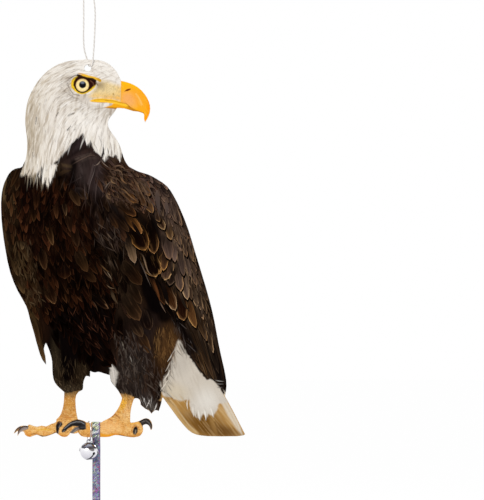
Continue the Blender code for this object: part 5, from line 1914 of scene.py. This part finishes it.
WING_SHADES = rows_of("""
139 253 141 253.5 143.5 257 147.8 270.8 153 276.5, 1.6 .8, 132 108 84
138 257 144 270 148 280 151 287, 1.1 .7, 104 90 80
151.6 277 157.3 291 160.5 303.5, 2.6 .85, 92 54 28
159 300 162.5 307 166 313, 1.2 .7, 120 98 82
162 283 165 292 169 306, 4.6 .9, 12 8 7
132 222 138 232 144 240, 3.4 .7, 12 8 7
151 214 155 222 158 236, 3.4 .6, 12 8 7
163 232 164 238 163 246, 2.4 .6, 12 8 7
172 262 172 272 176 284, 2.4 .7, 12 8 7
180 292 184 304 190 312, 2.6 .75, 12 8 7
174 311 178 318 181 322, 2.4 .75, 12 8 7
186 324 191 338 197 354, 3 .8, 12 8 7
198 330 203 346 208 362, 2.4 .75, 12 8 7
209 345 213 358 216 370, 2.2 .7, 12 8 7
222 352 225 372 225 392, 3.6 .9, 12 8 7
206 374 208 378 208 380, 1.6 .9, 60 46 34
201 362 204 370 206 376, 1 .6, 120 96 70
214 379.5 219 381 224.5 381.5, 1.1 .8, 150 146 140
215 383 219 384 224 384, 1 .8, 128 124 120
216 387 220 387.5 223 387, .9 .7, 104 100 98
""")
FRINGES = rows_of("""
172 346 174 354 175 361, 2.2 .7, 84 64 44
178 340 182 348 185 354, 1.8 .8, 40 31 27
186 344 190 353 193 361, 1.8 .85, 30 24 22
168 356 170 366 170 376, 2.2 .8, 64 47 31
164 362 167 372 167 384, 2.6 .9, 52 39 28
160 370 162 380 162 392, 2.2 .9, 60 42 27
192 356 197 366 201 374, 1.6 .8, 36 29 26
173 352 170 358 167 362, 1.2 .7, 214 206 194
171 360 168 367 165 372, 1.2 .7, 206 196 182
170 370 167 376 163 381, 1.3 .7, 216 208 196
168 380 164 386 160 391, 1.2 .75, 220 210 194
176 346 174 351 171 355, 1 .6, 190 182 172
198 408 199 415 200 421, 1.8 .85, 236 230 220
204 408 205.4 415 206 421, 1.8 .85, 240 235 226
210 406 212 412 213.4 418, 1.8 .85, 236 230 220
193 404 193 411 193.6 417, 1.8 .85, 228 220 208
188 398 187 404 188 410, 1.8 .8, 222 212 196
201 416 202 419 202.4 422, .9 .8, 120 84 40
208 414 209 418 209.4 421, .9 .8, 128 92 46
196 412 197 417 197.4 420, .9 .8, 130 94 48
178 394 182 398 186 404, 1.4 .7, 196 172 134
168 390 174 397 181 402, 1.4 .7, 214 196 164
222 388 227 395 231 402, 1.6 .7, 216 206 190
139 395 141 400 144 405, .9 .8, 120 114 110
141 394 144 400 147 408, .8 .8, 166 160 154
143.4 396 146 402 150 409, .7 .8, 104 98 94
144.6 397 144.4 399.4 143.6 402, .8 .85, 206 202 196
150.6 398 148.6 403 145.8 408, 1.3 .85, 214 206 198
147 395 149 402 152 410, .8 .8, 146 138 132
152 394 151.4 401 150 408, .7 .7, 176 170 164
154 400 152 406 150.4 412, 1.1 .9, 74 68 62
157.4 402 155.4 408 153.4 412, 1.2 .8, 222 216 210
148 404 149.6 408 150.6 412, 1.6 .9, 60 54 50
121 340 123 345 124 351, 1.4 .7, 120 110 98
123 346 126 352 126 360, 1 .7, 92 84 76
129 355 131 359 132 363, 1 .7, 150 142 132
118 346 121 354 123 358, .9 .7, 80 72 64
124 338 130 350 136 362, 1 .7, 70 62 58
112 364 113.4 372 115 384, 1.8 .8, 214 206 198
106 270 110 276 112 281, 1 .7, 140 122 100
102 268 108 276 113 279, .8 .7, 104 84 64
106 284 110 287.6 115 288.6, 1 .7, 118 96 72
100 264 106 270 110 272, 1.3 .8, 98 72 44
111 290 114 298 118 304, 3.4 .7, 78 62 44
92 300 96 306 98 312, .9 .6, 90 68 50
104 303 107 306 109 309, 1 .8, 132 98 68
96 222 101 226 106 229, 1.2 .7, 84 68 56
106 232 110 237 113 240, 1.4 .7, 100 82 66
104 235 109 241 112 246, 1 .6, 80 64 52
110 242 112 246 113 249, .8 .6, 108 90 72
""")
lay_locks("mane_locks", MANE_LOCKS, hair)
lay_locks("collar_locks", COLLAR_LOCKS, hair)
lay_locks("throat_shades", THROAT_SHADOW, hair, rise=-0.00002)
lay_locks("shoulder_locks", SHOULDER_LOCKS, hair)
lay_locks("wing_shades", WING_SHADES, hair)
lay_locks("fringe_hairs", FRINGES, hair)

painted_sheet("painted_feet", (12, 388, 156, 439), 0.38, GROUND_RISE * 1.5, printed)
painted_sheet("painted_tail", (158, 340, 246, 438.6), 0.6, GROUND_RISE * 1.5, printed)


# The frame's own pieces that stay in view


def finish_node(name, finish):
    """The finish in every material slot of one of the frame's own pieces."""
    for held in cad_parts[name].material_slots:
        held.material = finish.material


def film_finish():
    """The film under the printed sheets and round its cut edge, in the print's own zones: off-white
    above a slanting collar line, orange to the right of the face, dark brown below the collar, tan
    below the wing and orange below the legs, each edge wandering with noise."""
    finish = Finish("film_and_its_edge", Roughness=0.5, Specular_IOR_Level=0.05)
    spot, x, _, z = finish.places()
    wander = (finish.noise(spot, 120.0, 3.0) - 0.5) * 0.010
    ink = finish.noise(spot, 900.0, 3.0)
    body = finish.mix(ink, colour(26, 15, 10), colour(46, 31, 22))
    pale = finish.mix(ink, colour(196, 186, 170), colour(232, 226, 216))
    tan = finish.mix(ink, colour(150, 112, 58), colour(196, 160, 104))
    skin = finish.mix(ink, colour(206, 140, 60), colour(240, 186, 104))
    tail = (x + wander).eased(0.0625, 0.0655) * (z * -1 + wander).eased(0.3640, 0.3670)
    feet = (1 - x.eased(0.0600, 0.0640)) * (z * -1 + wander * 0.3).eased(0.3595, 0.3615)
    head = (z - x * 0.237 + 0.1585 + wander).eased(-0.001, 0.001)
    beak = x.eased(0.0280, 0.0290) * (z * -1).eased(0.0850, 0.0860) * (1 - (z * -1).eased(0.1210, 0.1220))
    tone = finish.mix(tail, body, tan)
    tone = finish.mix(feet, tone, skin)
    tone = finish.mix(head, tone, pale)
    tone = finish.mix(beak, tone, colour(248, 168, 34))
    finish.give("Base Color", tone)
    finish.relief(ink, 0.00002, 0.3)
    return finish


def core_finish():
    """The edge of the rigid foam board: closed cells with painted shade in their hollows, and fine marks of
    the cutter across it.
    """
    finish = Finish("foam_board_edge", Roughness=0.7, Specular_IOR_Level=0.3)
    spot = finish.places()[0]
    cell = finish.node("TexVoronoi", {"feature": "F1"}, {"Vector": spot, "Scale": 2600.0}, out="Distance")
    cut = finish.noise(finish.stretched(spot, (900, 60, 900)), 1.0, 2.0)
    dirt = finish.noise(spot, 60.0, 3.0)
    # painted shade: each cell is darker at its middle, where the relief is lowest
    tone = finish.mix(cell.eased(0.1, 0.6), colour(206, 203, 198), colour(236, 234, 230))
    tone = finish.mix(cut.eased(0.45, 0.7) * 0.35, tone, colour(184, 180, 174))
    tone = finish.mix(dirt.eased(0.5, 0.75) * 0.25, tone, colour(190, 182, 168))
    finish.give("Base Color", tone)
    finish.relief(cell * 0.6 + cut * 0.4, 0.00008, 0.5)
    return finish


def wire_finish():
    """Drawn steel wire: fine lines, small stains and a soft gloss that varies."""
    finish = Finish("drawn_steel_wire", Metallic=1.0)
    spot = finish.places()[0]
    line = finish.noise(finish.stretched(spot, (3000, 3000, 500)), 1.0, 2.0)
    stain = finish.noise(spot, 500.0, 3.0)
    tone = finish.mix(stain.eased(0.4, 0.7) * 0.6, colour(198, 194, 196), colour(112, 104, 108))
    finish.give("Base Color", finish.mix(line * 0.3, tone, colour(90, 84, 86)))
    finish.give("Roughness", stain * 0.25 + 0.16)
    finish.relief(line, 0.00002, 0.4)
    return finish


BELL_HEART = (0.000416, -0.004057, -0.4126)
BELL_REACH = 0.0088


def plating_finish():
    """Bright plating with painted reflections. By height over the bell's middle it goes from a pale foot
    through a bright band to a dark, streaked cap, as the shells mirror the floor, the wall and the toes;
    a slanting dark reflection crosses the band, the sides by the seam are painted dark as a reflection,
    and fine scratches vary the gloss."""
    finish = Finish("bright_bell_plating", Metallic=1.0)
    spot, x, _, z = finish.places()
    up = (z - BELL_HEART[2]) / BELL_REACH
    across = (x - BELL_HEART[0]) / BELL_REACH
    warp = (finish.noise(spot, 170.0, 2.0) - 0.5) * 0.34
    level = (up + warp + across * 0.10) * 0.5 + 0.5
    # painted reflections: colour by height for the floor, the wall and the toes mirrored in the shells
    tone = finish.ramp(level, """
        0 166 164 172  0.16 206 204 212  0.36 228 226 232  0.56 246 245 248  0.63 250 250 250
        0.67 66 64 70  0.74 100 100 112  0.82 174 176 188  0.88 92 94 106  1 146 148 160""")
    # painted dark reflection: a slanting patch across the bright band
    right, above = across - 0.26, up - 0.28
    patch = finish.node("CombineXYZ", None, {0: right * 1.7 - above * 0.9, 1: above * 3.6 + right * 2.0})
    far = finish.node("VectorMath", {"operation": "LENGTH"}, {0: patch}, out="Value")
    tone = finish.mix((1 - (far + warp * 1.4).eased(0.55, 0.80)) * 0.85, tone, colour(82, 72, 72))
    # painted dark reflection at the left and right sides, about the seam
    side = abs(across + warp * 0.2).eased(0.80, 0.97) * (1 - abs(up).eased(0.3, 0.7))
    tone = finish.mix(side * 0.8, tone, colour(64, 58, 62))
    scratch = finish.noise(finish.stretched(spot, (400, 400, 3600)), 1.0, 2.0)
    tone = finish.mix(scratch.eased(0.55, 0.8) * 0.15, tone, colour(150, 146, 150))
    finish.give("Base Color", tone)
    finish.give("Roughness", scratch * 0.10 + 0.10)
    finish.relief(scratch, 0.00001, 0.3)
    return finish


def pellet_finish():
    """A tumbled steel ball: small dents, dull patches and bright high spots."""
    finish = Finish("tumbled_steel", Metallic=1.0)
    spot = finish.places()[0]
    dent = finish.noise(spot, 1500.0, 2.0)
    dull = finish.noise(spot, 420.0, 2.0)
    finish.give("Base Color", finish.mix(dull.eased(0.4, 0.7), colour(176, 174, 172), colour(118, 114, 112)))
    finish.give("Roughness", dull * 0.3 + 0.2)
    finish.relief(dent, 0.00005, 0.4)
    return finish


film = film_finish()
steel = wire_finish()
plating = plating_finish()
for name, finish in (("front_print", film), ("back_print", film), ("board_core", core_finish()),
                     ("bell_ring", steel), ("bell_eye", plating), ("bell_upper_shell", plating),
                     ("bell_lower_shell", plating), ("bell_pellet", pellet_finish())):
    finish_node(name, finish)
